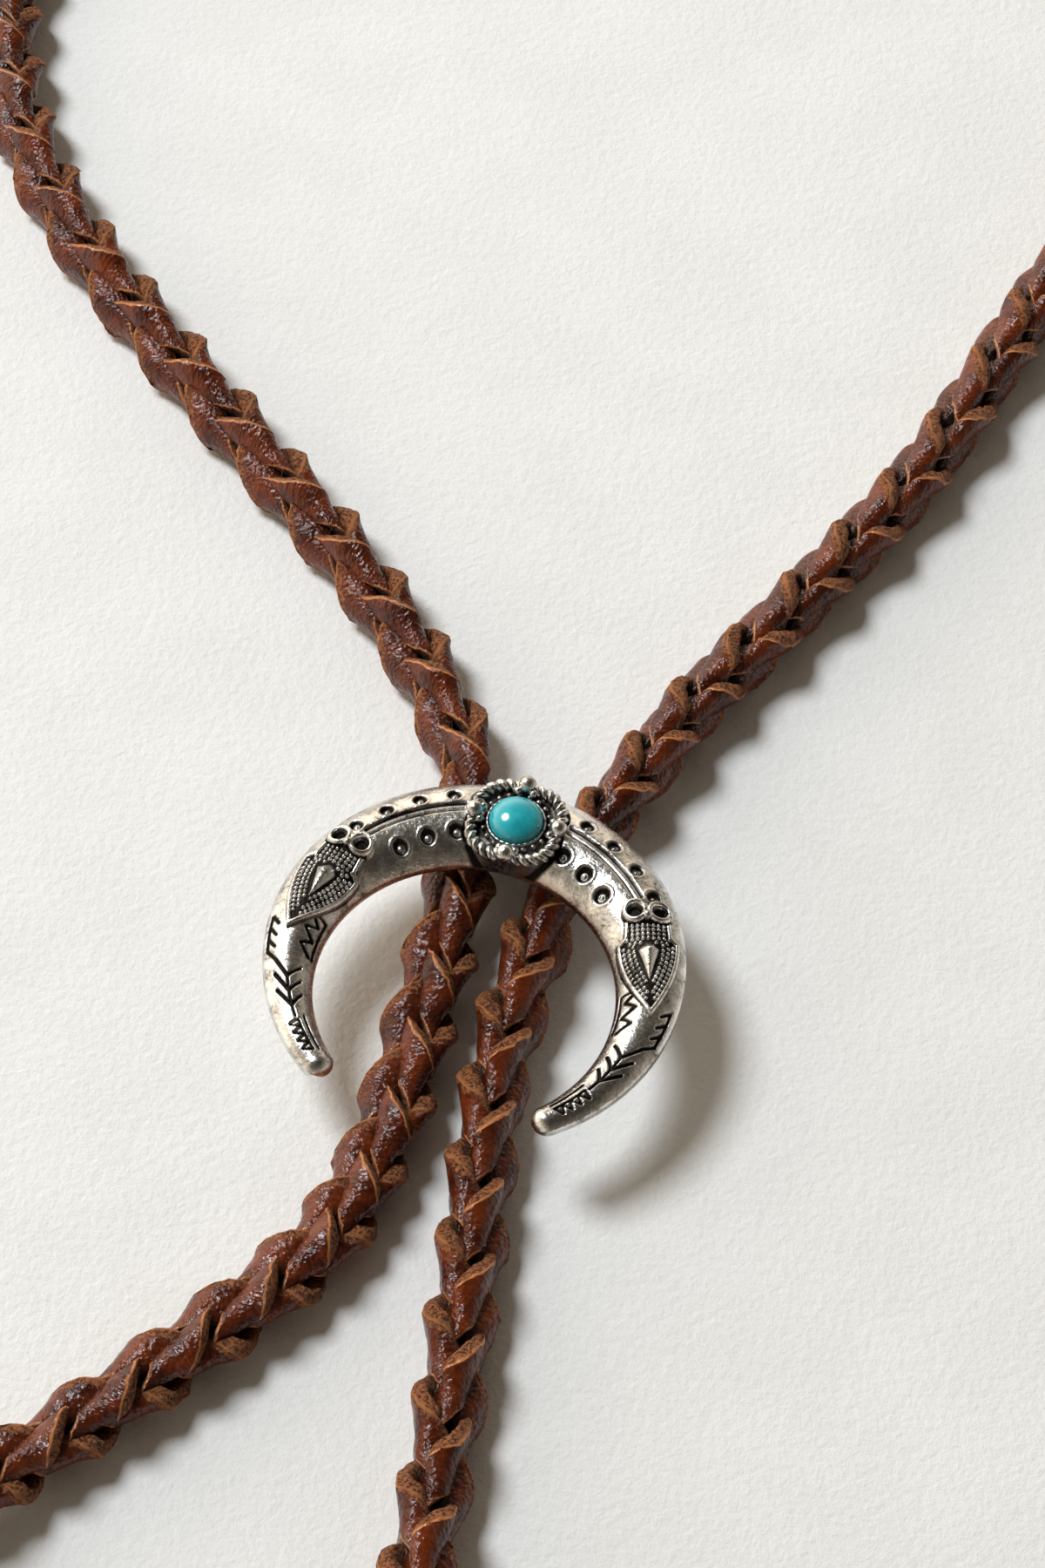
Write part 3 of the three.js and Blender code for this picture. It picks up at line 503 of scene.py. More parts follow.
def dome(half_width, across):
    share = (half_width / (BAND_WIDTH / 2)) ** THINNING
    rounded = np.clip(1 - across**2, 0, None) ** DOME_POWER
    edge = OPENING_EDGE_HEIGHT + (EDGE_HEIGHT - OPENING_EDGE_HEIGHT) * (across + 1) / 2
    return edge * np.minimum(1, share + THIN_EDGE) + (CREST_HEIGHT - edge) * share * rounded


def surface(along, across):
    middle, half = band(along)
    across = np.asarray(across, dtype=float)
    spot = middle + half * across[..., None]
    return np.concatenate(
        [spot, (CRESCENT_BACK + dome(np.linalg.norm(half, axis=-1), across))[..., None]], axis=-1
    )


def locate(x, y):
    """Along and across for places in plan, found by halving."""
    low, high = np.full(x.shape, -1.0), np.full(x.shape, 1.0)
    for _ in range(30):
        along = (low + high) / 2
        middle, half = band(along)
        turned = half[..., 0] * (y - middle[..., 1]) - half[..., 1] * (x - middle[..., 0])
        low = np.where(turned < 0, along, low)
        high = np.where(turned < 0, high, along)
    middle, half = band(low)
    offset = (x - middle[..., 0]) * half[..., 0] + (y - middle[..., 1]) * half[..., 1]
    return low, offset / (half**2).sum(axis=-1)


def base_height(x, y):
    along, across = locate(x, y)
    half = np.linalg.norm(band(along)[1], axis=-1)
    return CRESCENT_BACK + dome(half, np.clip(across, -1, 1))


# Marks on the crescent, given for the right side; the left side mirrors them. Along and across are
# shares as in the CAD model. A dimple is along, across and radius.
DIMPLES = [(0.148 + 0.074 * i, 0.5, 0.95) for i in range(4)]
DIMPLES += [(0.14 + 0.0735 * i, -0.43 - 0.05 * i, 1.05) for i in range(3)]
DIMPLE_DEPTH, DIMPLE_BUD, DIMPLE_LIP = 0.62, 0.26, 0.08
GROOVE = {"from": 0.118, "to": 0.36, "across": 0.12, "fade": 0.004, "depth": 0.1, "dark": 0.35}
GROOVE_LINES = [(0.5, 0.34, 0.36), (-0.42, 0.24, 0.22)]  # out from the groove's middle, width, depth
ENGRAVED_FROM = 0.55
BURR = 0.05


def segment_distance(x, y, a, b):
    dx, dy = b[0] - a[0], b[1] - a[1]
    t = np.clip(((x - a[0]) * dx + (y - a[1]) * dy) / (dx * dx + dy * dy), 0, 1)
    return np.hypot(x - a[0] - t * dx, y - a[1] - t * dy)


def path_distance(x, y, places, pieces=4):
    """Distance in plan to a line through places on the crescent."""
    best = np.full(x.shape, 1e9)
    for (a0, c0), (a1, c1) in zip(places, places[1:]):
        w = np.linspace(0, 1, pieces + 1)
        spots = surface(a0 + (a1 - a0) * w, c0 + (c1 - c0) * w)
        for p, q in zip(spots, spots[1:]):
            best = np.minimum(best, segment_distance(x, y, p, q))
    return best


def engraved_lines():
    """Each line's places, width and depth."""
    # comb: a spine and four teeth
    start, stop, spine, ends, lean = 0.65, 0.732, 0.8, 0.54, 0.012
    lines = [([(start, spine), (stop, spine)], 0.36, 0.26)]
    lines += [([(a, spine), (a + lean, ends)], 0.42, 0.3) for a in np.linspace(start, stop, 4)]
    # zigzag with a line along its outer side
    start, stop, near, far, edge = 0.585, 0.7, -0.35, -0.72, -0.84
    bends = [(a, far if i % 2 else near) for i, a in enumerate(np.linspace(start, stop, 6))]
    corner = (start - 0.005, edge)
    lines += [(bends, 0.4, 0.34), ([corner, (stop, edge)], 0.3, 0.24), ([bends[0], corner], 0.34, 0.28)]
    # fletching: a stem and three pairs of barbs
    start, step, stop, reach, rise = 0.78, 0.038, 0.885, 0.5, 0.035
    barbs = [start + step * i for i in range(3)]
    lines.append(([(start, 0), (barbs[-1], 0), (stop, 0)], 0.34, 0.26))
    lines += [([(a, 0), (a - rise, out)], 0.46, 0.34) for a in barbs for out in (-reach, reach)]
    # saw: a line and four closed teeth
    start, stop, count, line, foot, peak = 0.893, 0.978, 4, -0.42, -0.1, 0.42
    lines.append(([(start - 0.012, line), (stop, line)], 0.3, 0.24))
    step = (stop - start) / count
    for a in [start + step * i for i in range(count)]:
        tooth = [(a, foot), (a + step * 0.5, peak), (a + step * 0.95, foot), (a, foot)]
        lines.append((tooth, 0.3, 0.3))
    return lines


def marks(x, y, along, across, half):
    """How far the marks lower the surface, and how dark the oxide in them is."""
    x, along = np.abs(x), np.abs(along)
    drop, dark = np.zeros(x.shape), np.zeros(x.shape)
    for a, c, radius in DIMPLES:
        spot = surface(a, c)
        d = np.hypot(x - spot[0], y - spot[1]) / radius
        bowl = DIMPLE_DEPTH * (1 - ramp(d, 0.3, 0.95)) - DIMPLE_BUD * (1 - ramp(d, 0.0, 0.36))
        drop += bowl - DIMPLE_LIP * bell(d, 1.08, 0.13)
        dark = np.maximum(dark, bell(d, 0.6, 0.3, 4))
    start, stop, fade = GROOVE["from"], GROOVE["to"], GROOVE["fade"]
    e = (across - GROOVE["across"]) * half
    inside = ramp(along, start - fade, start + fade) * (1 - ramp(along, stop - fade, stop + fade))
    for at, width, depth in GROOVE_LINES:
        drop += inside * depth * bell(e, at, width * 0.6)
        dark = np.maximum(dark, inside * bell(e, at, width * 0.62, 4))
    trough = 1 - ramp(np.abs(e - 0.04), 0.3, 0.5)
    drop += inside * GROOVE["depth"] * trough
    dark = np.maximum(dark, inside * GROOVE["dark"] * trough)
    near = along > ENGRAVED_FROM
    xs, ys = x[near], y[near]
    low, deep = np.zeros(xs.shape), np.zeros(xs.shape)
    for places, width, depth in engraved_lines():
        d = path_distance(xs, ys, places) / (width / 2)
        low = np.maximum(low, depth * (1 - ramp(d, 0.35, 1.15)) - BURR * bell(d, 1.5, 0.3))
        deep = np.maximum(deep, 1 - ramp(d, 0.75, 1.15))
    drop[near] += low
    dark[near] = np.maximum(dark[near], deep)
    return drop, dark


# Setting: sizes that the crescent's seat shares
SETTING_Y = -4.0
SETTING_PINCH = 4.35
LOBE_RISE = 0.95
LOBE_POWER = 0.8
RIM_RADIUS = 0.55
SEAT_HEIGHT = 12.4
SETTING_BOTTOM = 12.7
SETTING_TOP = SETTING_BOTTOM + 0.8
SETTING_BEAD_RADIUS = 1.0
SETTING_BEAD_OUT = 0.45
SETTING_BEAD_RISE = 0.8


def lobes(angle):
    return SETTING_PINCH + LOBE_RISE * np.abs(np.sin(2 * angle)) ** LOBE_POWER


# The crescent's skin: points along and across, rows in each rounded end, and where on the walls and the
# back the other rows lie
SKIN_COUNT = 725
ACROSS_COUNT = 88
EDGE_CROWDING = 0.3
END_ROWS = 20
END_ANGLES = (4, 88)
PAST_END = 1.2  # what the rounded ends count as along, past all the marks
WALL_SHARES = (0.12, 0.4, 0.75)
BACK_SHARES = (0.5, 0.93)
SEAT_FADE = (0.75, 0.95)
# how far past the setting's lobes the painted shade and oxide round its foot reach
SEAT_SHADE_AND_OXIDE = (0.7, 1.2)
WARM_COLUMNS = 14
WARM_ACROSS = (-0.99, -0.86)


def crescent():
    """The cast body, with a finer skin than the CAD model's."""
    along = np.linspace(-1, 1, SKIN_COUNT)
    k = np.linspace(0, 1, ACROSS_COUNT)
    across = (1 - EDGE_CROWDING) * (2 * k - 1) - EDGE_CROWDING * np.cos(np.pi * k)
    middle, half = band(along)
    blocks = [(middle, half, np.ones(SKIN_COUNT), along)]
    for side in (-1, 1):
        m, h = band(side)
        forward = np.array([-h[1], h[0]]) / np.linalg.norm(h) * -side
        turns = np.radians(np.linspace(*END_ANGLES, END_ROWS))
        reach = np.sin(turns) * np.linalg.norm(h) * HORN_END_REACH
        shrink = np.cos(turns)
        order = slice(None, None, -1) if side < 0 else slice(None)
        end = ((m + forward * reach[:, None])[order], (h * shrink[:, None])[order], shrink[order])
        blocks.insert(0 if side < 0 else len(blocks), (*end, np.full(END_ROWS, PAST_END * side)))
    middle, half, shrink, along = (np.concatenate(rows) for rows in zip(*blocks))
    shrink = shrink[:, None]
    size = np.linalg.norm(half, axis=-1)[:, None]
    spot = middle[:, None, :] + half[:, None, :] * across[None, :, None]
    height = dome(size / shrink, across[None, :]) * shrink
    x, y = spot[..., 0], spot[..., 1]
    grid_along, grid_across = np.broadcast_arrays(along[:, None], across[None, :])
    drop, dark = marks(x, y, grid_along, grid_across, size / shrink)
    # the seat under the setting
    beyond = np.hypot(x, y - SETTING_Y) - lobes(np.arctan2(y - SETTING_Y, x))
    inside = 1 - ramp(beyond, *SEAT_FADE)
    top = CRESCENT_BACK + height - drop
    top = np.where(inside > 0, top * (1 - inside) + np.minimum(top, SEAT_HEIGHT) * inside, top)
    # painted shade and oxide: the crescent is darkened round the setting's foot, under its overhang
    dark = np.maximum(dark, 1 - ramp(beyond, *SEAT_SHADE_AND_OXIDE))

    # walls and back
    def wall(column, share):
        edge = np.stack([x[:, column], y[:, column]], axis=-1)
        level = CRESCENT_BACK + (top[:, column] - CRESCENT_BACK) * share
        return np.concatenate([edge, level[:, None]], axis=-1)

    def under(share):
        level = np.full(len(middle), CRESCENT_BACK)
        return np.concatenate([middle + half * share, level[:, None]], axis=-1)

    grid = np.concatenate([np.stack([x, y], axis=-1), top[..., None]], axis=-1)
    columns = [under(0.0)] + [under(-share) for share in BACK_SHARES]
    columns += [wall(0, share) for share in WALL_SHARES]
    first = len(columns)
    columns += [grid[:, i] for i in range(grid.shape[1])]
    last = len(columns)
    columns += [wall(-1, share) for share in reversed(WALL_SHARES)]
    columns += [under(share) for share in reversed(BACK_SHARES)]
    points = np.stack(columns, axis=1)
    darkness, warm = np.zeros(points.shape[:2]), np.zeros(points.shape[:2])
    darkness[:, first:last] = dark
    # the wall of the opening has a warm tint
    warm[:, first - len(WALL_SHARES) - 1 : first] = 1
    warm[:, first : first + WARM_COLUMNS] = (1 - ramp(grid_across[:, :WARM_COLUMNS], *WARM_ACROSS)) * 0.8
    faces = closed_faces(*points.shape[:2])
    layers = {"dark": darkness, "warm": warm}
    return make_piece("crescent_body", points.reshape(-1, 3), faces, layers=layers)


# Arrow plates, measured across and down from the middle of the ring pair and up from the crescent
PLATE_ALONG = 0.402
PLATE_ACROSS = 0.154
PLATE_TURN = math.radians(-17.6)
PLATE_LENGTH = 12.9
PLATE_STEP = 0.06
PLATE_SPAN = ((-3.7, 3.71), (-1.75, 13.21))
BED = 0.26
OUTSIDE = -0.5
RIM_AT, RIM_WIDTH, RIM_END, RIM_RISE = 0.27, 0.29, 0.56, 0.4
RING_SPACING = 2.8
RING_RADIUS, RING_TUBE, RING_END, RING_PIT = 1.13, 0.4, 1.53, 0.78
NOSE_DOWN, NOSE_RADIUS = 0.62, 0.55
NECK_HALF = 2.7
NECK_END = 2.9
NECK_ROWS = (1.7, 2.24, 2.78, 3.32)
NECK_NARROW = 3
SHOULDER_HALF = 3.5
SHOULDER_AT = 3.6
SHOULDER_GRAINS = (3.86, (0.87, 1.45, 2.03))
DROP_FROM = 3.9
DROP_TO = 8.4
DROP_HALF = 1.32
DROP_WIDEST = 0.22
GRAIN = 0.25
GRAIN_STEP = 0.58
FLANK_ROWS = 4
FLANK_FIRST = 0.78


def side_half(down):
    """Half the plate's width below its shoulder."""
    share = np.clip((down - SHOULDER_AT) / (PLATE_LENGTH - SHOULDER_AT), 0, 1)
    return SHOULDER_HALF * (1 - share**2.0)


def plate_outline():
    downs = np.linspace(SHOULDER_AT, PLATE_LENGTH, 26)
    flank = [(float(side_half(v)), float(v)) for v in downs]
    edge = [(NECK_HALF, 0.2), (NECK_HALF - 0.12, 1.6), (NECK_HALF, NECK_END), (NECK_HALF + 0.1, 3.1)]
    right_side = edge + flank
    return np.array(right_side + [(-u, v) for u, v in reversed(right_side[:-1])])


def outline_depth(u, v, outline):
    """Distance inside a closed outline, negative outside."""
    best = np.full(u.shape, 1e9)
    inside = np.zeros(u.shape, dtype=bool)
    for a, b in zip(outline, np.roll(outline, -1, axis=0)):
        best = np.minimum(best, segment_distance(u, v, a, b))
        crosses = (a[1] > v) != (b[1] > v)
        rise = b[1] - a[1] if b[1] != a[1] else 1e-9
        inside ^= crosses & (u < (b[0] - a[0]) * (v - a[1]) / rise + a[0])
    return np.where(inside, best, -best)


def plate_grains():
    """Beads that follow the plate's flanks in rows, and level rows in its neck."""
    spots = []
    downs = np.linspace(SHOULDER_AT, PLATE_LENGTH, 400)
    curve = np.stack([side_half(downs), downs], axis=1)
    tangent = unit(np.gradient(curve, axis=0))
    normal = np.stack([-tangent[:, 1], tangent[:, 0]], axis=1)
    for row in range(FLANK_ROWS):
        line = curve + normal * (FLANK_FIRST + GRAIN_STEP * 0.93 * row)
        line = line[(line[:, 0] > 0.12) & (line[:, 1] > SHOULDER_AT + 0.55)]
        run = run_along(line)
        for s in np.arange(0.1 + GRAIN_STEP / 2 * (row % 2), run[-1], GRAIN_STEP):
            u, v = np.interp(s, run, line[:, 0]), np.interp(s, run, line[:, 1])
            if abs(u) >= drop_half(v) + 0.2:
                spots += [(u, v), (-u, v)]
    for v in NECK_ROWS:
        reach = GRAIN_STEP * (3 if v < NECK_NARROW else 4)
        spots += [(u, v) for u in np.arange(-reach, reach + 0.01, GRAIN_STEP)]
    down, places = SHOULDER_GRAINS
    return spots + [(side * u, down) for side in (-1, 1) for u in places]


def drop_half(down):
    share = (down - DROP_FROM) / (DROP_TO - DROP_FROM)
    blunt = np.sqrt(np.clip(share / DROP_WIDEST, 0, 1))
    return DROP_HALF * np.clip(np.where(share < DROP_WIDEST, blunt, (1 - share) / (1 - DROP_WIDEST)), 0, 1)


def arrow_plate(side):
    u, v = np.meshgrid(*(np.arange(*span, PLATE_STEP) for span in PLATE_SPAN), indexing="ij")
    depth = outline_depth(u, v, plate_outline())
    shape = np.where(depth > 0, BED, OUTSIDE)
    rim = BED + RIM_RISE * half_round(depth, RIM_AT, RIM_WIDTH)
    shape = np.where((depth > -0.02) & (depth < RIM_END), rim, shape)
    dark = ramp(depth, 0.44, RIM_END)
    dark = np.maximum(dark, 0.9 * (1 - ramp(np.abs(depth + 0.05), 0.0, 0.16)))
    for gu, gv in plate_grains():
        d = np.hypot(u - gu, v - gv)
        ball = half_round(d, 0, GRAIN)
        on = (d < GRAIN) & (depth > 0.4)
        shape = np.where(on, np.maximum(shape, 0.12 + 0.5 * ball), shape)
        dark = np.where(on, np.minimum(dark, 1 - ramp(ball, 0.3, 0.65)), dark)
    # the drop in the middle
    half = drop_half(v)
    inside = np.clip(1 - np.abs(u) / np.maximum(half, 1e-3), 0, 1) * (half > 0.01)
    rise = np.clip(np.minimum((v - DROP_FROM) / 1.1, (DROP_TO - v) / 3.2), 0, 1)
    peak = 0.22 + 1.05 * np.minimum(inside**0.75 * 1.15, 1) * rise**0.8
    shape = np.where(inside > 0.02, np.maximum(shape, peak), shape)
    dark = np.where(inside > 0.1, dark * (1 - ramp(inside, 0.1, 0.3)), dark)
    # the ring pair, the bead between them and the ridge above it
    for centre in (-RING_SPACING / 2, RING_SPACING / 2):
        d = np.hypot(u - centre, v)
        tube = half_round(d, RING_RADIUS, RING_TUBE)
        ring = d < RING_END
        level = np.where(d < RING_PIT, 0.02 + 0.25 * ramp(d, 0.5, RING_PIT), 0.22 + 0.85 * tube)
        shape = np.where(ring, np.where(d < 0.8, level, np.maximum(shape, level)), shape)
        pit = 1 - ramp(d, 0.68, 0.86)
        dark = np.where(ring, np.where(d < 0.9, pit, dark * (1 - ramp(tube, 0.1, 0.5))), dark)
        dark = np.where((d > 1.45) & (d < 1.7) & (depth > 0), 1, dark)
    d = np.hypot(u, v - NOSE_DOWN)
    ball = half_round(d, 0, NOSE_RADIUS)
    shape = np.where(d < NOSE_RADIUS, np.maximum(shape, 0.75 + 0.62 * ball), shape)
    dark = np.where(d < NOSE_RADIUS, dark * (1 - ramp(ball, 0.1, 0.6)), dark)
    ridge = bell(u, 0, 0.32) * bell(v, -0.35, 0.7)
    shape = np.maximum(shape, np.where(ridge > 0.1, 0.95 * ridge, shape))

    at = surface(PLATE_ALONG, PLATE_ACROSS)
    run = band(PLATE_ALONG + 0.001)[0] - band(PLATE_ALONG)[0]
    turn = math.atan2(run[0], -run[1]) + PLATE_TURN
    x = at[0] + u * math.cos(turn) + v * math.sin(turn)
    y = at[1] + u * math.sin(turn) - v * math.cos(turn)
    points = np.stack([side * x, y, base_height(x, y) + shape], axis=-1)
    quads = grid_faces(*u.shape)
    quads = quads[(shape.ravel()[quads] > OUTSIDE + 0.05).any(axis=1)]
    quads = quads if side < 0 else quads[:, ::-1]
    used, renumbered = np.unique(quads, return_inverse=True)
    return make_piece(
        "arrow_plate_left" if side < 0 else "arrow_plate_right",
        points.reshape(-1, 3)[used],
        renumbered.reshape(quads.shape).tolist(),
        layers={"dark": dark.ravel()[used], "warm": np.zeros(len(used))},
    )


# Setting: a four-lobed cup with a roped rim, a bead between each two lobes and a collar round the stone
SETTING_COUNT = 560
ROPE = {"spin": 34, "lobed": 0.6}
ROPE_SWELL = 1.1
GRANULES, GRANULE_OUT, GRANULE_RADIUS = 20, 3.72, 0.3
BOWL_ROWS = 12
COLLAR_SCALLOPS, SCALLOP_RISE = 15, 0.05
COLLAR = [  # out from the middle, height and darkness
    (3.42, 0.3, 0.95), (3.4, 0.8, 0.85), (3.33, 1.1, 0.6), (3.22, 1.2, 0.3),
    (3.1, 1.15, 0.5), (3.06, 0.9, 0.95), (3.06, 0.5, 1.0), (0.05, 0.45, 1.0),
]
SIDE_BEAD = {"in": 0.72, "degrees": 12.5, "rise": 0.42, "radius": 0.48}
STONE_RADIUS = 3.0
STONE_EDGE = 0.5
STONE_DOME = 1.9
STONE_ROWS = 30
STONE_SEAT = 0.7


def ring_tube(centre, radius_of, spin, lobed, around=14, strands=2):
    """A closed tube along points round a loop, with the section of a twisted rope."""
    count = len(centre)
    tangent = unit(np.roll(centre, -1, axis=0) - np.roll(centre, 1, axis=0))
    upward = np.tile([0, 0, 1.0], (count, 1))
    outward = np.cross(tangent, upward)
    turn = full_turn(around)[None, :]
    place = np.arange(count)[:, None] / count * 2 * np.pi
    strand = np.abs(np.cos((turn * strands + place * spin) / 2))
    radius = np.reshape(radius_of, (-1, 1)) * (1 + lobed * strand - lobed / 2)
    points = (
        centre[:, None, :]
        + (np.cos(turn) * radius)[..., None] * outward[:, None, :]
        + (np.sin(turn) * radius)[..., None] * upward[:, None, :]
    )
    quads = grid_faces(count + 1, around, wrap=True) % (count * around)
    return points.reshape(-1, 3), quads, (1 - strand).ravel()


def turned_grid(radius, height, around, centre):
    """Rows of points on upright circles round centre, and the faces between them."""
    turn = full_turn(around)[None, :]
    x = centre[0] + radius * np.cos(turn)
    y = centre[1] + radius * np.sin(turn)
    z = centre[2] + height + 0 * turn
    return np.stack([x, y, z], axis=-1).reshape(-1, 3), grid_faces(len(radius), around, wrap=True)


def ball_mesh(centre, radius, rings=14, around=24):
    lat = np.linspace(-math.pi / 2, math.pi / 2, rings)[:, None]
    return turned_grid(radius * np.cos(lat), radius * np.sin(lat), around, centre)


def lathe(profile, around, centre=(0, 0, 0)):
    """Turned about the upright line through centre; the profile is radius and height."""
    profile = np.asarray(profile, dtype=float)
    return turned_grid(profile[:, :1], profile[:, 1:], around, centre)


def combined(name, parts):
    """One piece from parts of points, faces and darkness."""
    points, faces, dark, start = [], [], [], 0
    for p, f, d in parts:
        points.append(p)
        faces += (np.asarray(f) + start).tolist()
        dark.append(np.broadcast_to(d, (len(p),)))
        start += len(p)
    layers = {"dark": np.concatenate(dark), "warm": np.zeros(start)}
    return make_piece(name, np.vstack(points), faces, layers=layers)


def round_middle(reach, angle, height):
    return reach * math.cos(angle), SETTING_Y + reach * math.sin(angle), height


def setting():
    angle = full_turn(SETTING_COUNT)
    radius = lobes(angle)

    def ring(reach, height):
        x, y = reach * np.cos(angle), SETTING_Y + reach * np.sin(angle)
        return np.stack([x, y, np.broadcast_to(height, x.shape)], axis=-1)

    def sheet(rings, dark):
        return np.stack(rings).reshape(-1, 3), grid_faces(len(rings), SETTING_COUNT, wrap=True), dark

    thickness = ROPE_SWELL * RIM_RADIUS * (1 + 0.08 * wobble(angle[:, None] * 5, 21))
    p, f, valley = ring_tube(ring(radius, SETTING_TOP + 0.02), thickness, **ROPE)
    parts = [(p, f, ramp(valley, 0.45, 0.9))]
    # wall under the rope, down to the crescent
    foot = ring(radius + 0.42, 0)
    low = np.minimum(base_height(foot[:, 0], foot[:, 1]) - 0.25, SETTING_BOTTOM - 0.2)
    wall = [(0.1, low), (0.32, SETTING_BOTTOM + 0.1), (0.3, SETTING_TOP)]
    parts.append(sheet([ring(radius + out, height) for out, height in wall], 0.6))
    # bowl between the rope and the collar, with granules
    bowl = []
    for share in np.linspace(0, 1, BOWL_ROWS):
        reach = (1 - share) * (radius - 0.1) + share * (STONE_RADIUS + 0.3)
        bowl.append(ring(reach, SETTING_TOP - 0.5 * math.sin(math.pi * min(share * 1.1, 1)) ** 0.7))
    parts.append(sheet(bowl, 0.88))
    for i in range(GRANULES):
        a = math.radians(360 / GRANULES * (i + 0.5))
        granule = ball_mesh(round_middle(GRANULE_OUT, a, SETTING_TOP + 0.02), GRANULE_RADIUS, 9, 14)
        parts.append((*granule, 0.5))
    # thin scalloped collar round the stone
    crown = SCALLOP_RISE * np.abs(np.sin(angle * COLLAR_SCALLOPS))
    collar = [ring(reach, SETTING_BOTTOM + height + crown * (height > 1)) for reach, height, _ in COLLAR]
    parts.append(sheet(collar, np.repeat([row[2] for row in COLLAR], SETTING_COUNT)))
    # a bead on a stem between each two lobes, with a small one on each side
    out = SETTING_PINCH + SETTING_BEAD_OUT
    bead_height = SETTING_TOP + SETTING_BEAD_RISE
    for degrees in (0, 90, 180, 270):
        a = math.radians(degrees)
        parts.append((*ball_mesh(round_middle(out, a, bead_height), SETTING_BEAD_RADIUS), 0.0))
        stem = [(0.8, SETTING_BOTTOM - 1.2), (0.72, bead_height - 0.45)]
        parts.append((*lathe(stem, 20, round_middle(out, a, 0)), 0.8))
        for lean in (-SIDE_BEAD["degrees"], SIDE_BEAD["degrees"]):
            b = a + math.radians(lean)
            spot = round_middle(out - SIDE_BEAD["in"], b, SETTING_TOP + SIDE_BEAD["rise"])
            parts.append((*ball_mesh(spot, SIDE_BEAD["radius"], 10, 16), 0.1))
    return combined("setting_rope", parts)


def stone():
    profile = [(2.7, 0.02), (2.92, 0.1), (STONE_RADIUS, 0.28), (STONE_RADIUS, STONE_EDGE)]
    for i in range(1, STONE_ROWS):
        a = i / STONE_ROWS * math.pi / 2
        profile.append((STONE_RADIUS * math.cos(a), STONE_EDGE + STONE_DOME * math.sin(a)))
    profile.append((0.02, STONE_EDGE + STONE_DOME))
    points, faces = lathe(profile, 96, (0, SETTING_Y, SETTING_BOTTOM + STONE_SEAT))
    return make_piece("turquoise_cabochon", points, faces)


# Tips: turned ends with a fine roped band in a collar, a cone and a ball
TIP_MOUTH = [  # radius and height, from inside the mouth to the foot of the cone
    (3.82, 6.0), (3.82, 0.1), (3.92, 0.0), (4.2, 0.0), (4.3, 0.12), (4.3, 0.5), (4.12, 0.62), (4.12, 1.6),
    (4.3, 1.72), (4.3, 2.1), (4.22, 2.28), (4.05, 2.45), (4.05, 7.2), (4.0, 7.6), (3.86, 7.8), (3.9, 8.1),
    (3.82, 8.4),
]
TIP_GROOVES = [6, 7, 13, 14]  # rows of the mouth that are dark
CONE_END = (1.5, 28.8)
CONE_POWER = 0.92
TIP_SIDES = 56
TIP_ROPE = {"spin": 44, "lobed": 0.34, "around": 10}
TIP_ROPE_AT = (4.08, 1.11)


def tip(name):
    spec = TIPS[name]
    profile = list(TIP_MOUTH)
    (wide, start), (narrow, end) = TIP_MOUTH[-1], CONE_END
    for share in np.linspace(0.06, 1, 22):
        profile.append((wide + (narrow - wide) * share**CONE_POWER, start + (end - start) * share))
    profile.append((narrow, end + 0.5))
    for degrees in np.linspace(-42, 88, 14):
        a = math.radians(degrees)
        ball_at = TIP_LENGTH - TIP_BALL_RADIUS
        profile.append((TIP_BALL_RADIUS * math.cos(a), ball_at + TIP_BALL_RADIUS * math.sin(a)))
    dark = np.zeros(len(profile))
    dark[TIP_GROOVES] = 0.9
    parts = [(*lathe(profile, TIP_SIDES), np.repeat(dark, TIP_SIDES))]
    turn = full_turn(240)
    out, height = TIP_ROPE_AT
    loop = np.stack([out * np.cos(turn), out * np.sin(turn), np.full(turn.shape, height)], axis=1)
    p, f, valley = ring_tube(loop, 0.36, **TIP_ROPE)
    parts.append((p, f, ramp(valley, 0.55, 0.95) * 0.85))
    piece = combined(name + "_turned", parts)
    direction = Vector(tip_direction(spec))
    spin = Vector((0, 0, 1)).rotation_difference(direction).to_matrix().to_4x4()
    piece.data.transform(Matrix.Translation(Vector(tip_mouth(spec)) * MM) @ spin)
    low = min(vertex.co.z for vertex in piece.data.vertices)
    if low < 0:
        piece.data.transform(Matrix.Translation((0, 0, -low)))
    return piece


# Materials
def tree_of(name):
    """A new material, its tree, its shader and the place on the piece."""
    material = bpy.data.materials.new(name)
    material.use_nodes = True
    tree = material.node_tree
    tree.nodes.clear()
    output = tree.nodes.new("ShaderNodeOutputMaterial")
    shader = tree.nodes.new("ShaderNodeBsdfPrincipled")
    tree.links.new(shader.outputs[0], output.inputs[0])
    return material, tree, shader, node(tree, "ShaderNodeTexCoord").outputs["Object"]


def put(tree, value, socket):
    """A number, a colour or another node's output into a socket."""
    if isinstance(value, bpy.types.NodeSocket):
        tree.links.new(value, socket)
    else:
        socket.default_value = value


def node(tree, kind, values=None, **settings):
    made = tree.nodes.new(kind)
    for key, value in settings.items():
        setattr(made, key, value)
    for key, value in (values or {}).items():
        put(tree, value, made.inputs[key])
    return made


def noise(tree, where, scale, detail=3.0, roughness=0.55, distortion=0.0):
    values = {"Vector": where, "Scale": scale, "Detail": detail, "Roughness": roughness}
    return node(tree, "ShaderNodeTexNoise", {**values, "Distortion": distortion}).outputs[0]


def spread(tree, value, low, high, to_low=0.0, to_high=1.0):
    """From to_low where the value is low to to_high where it is high."""
    values = {"Value": value, "From Min": low, "From Max": high, "To Min": to_low, "To Max": to_high}
    return node(tree, "ShaderNodeMapRange", values, interpolation_type="SMOOTHSTEP").outputs[0]


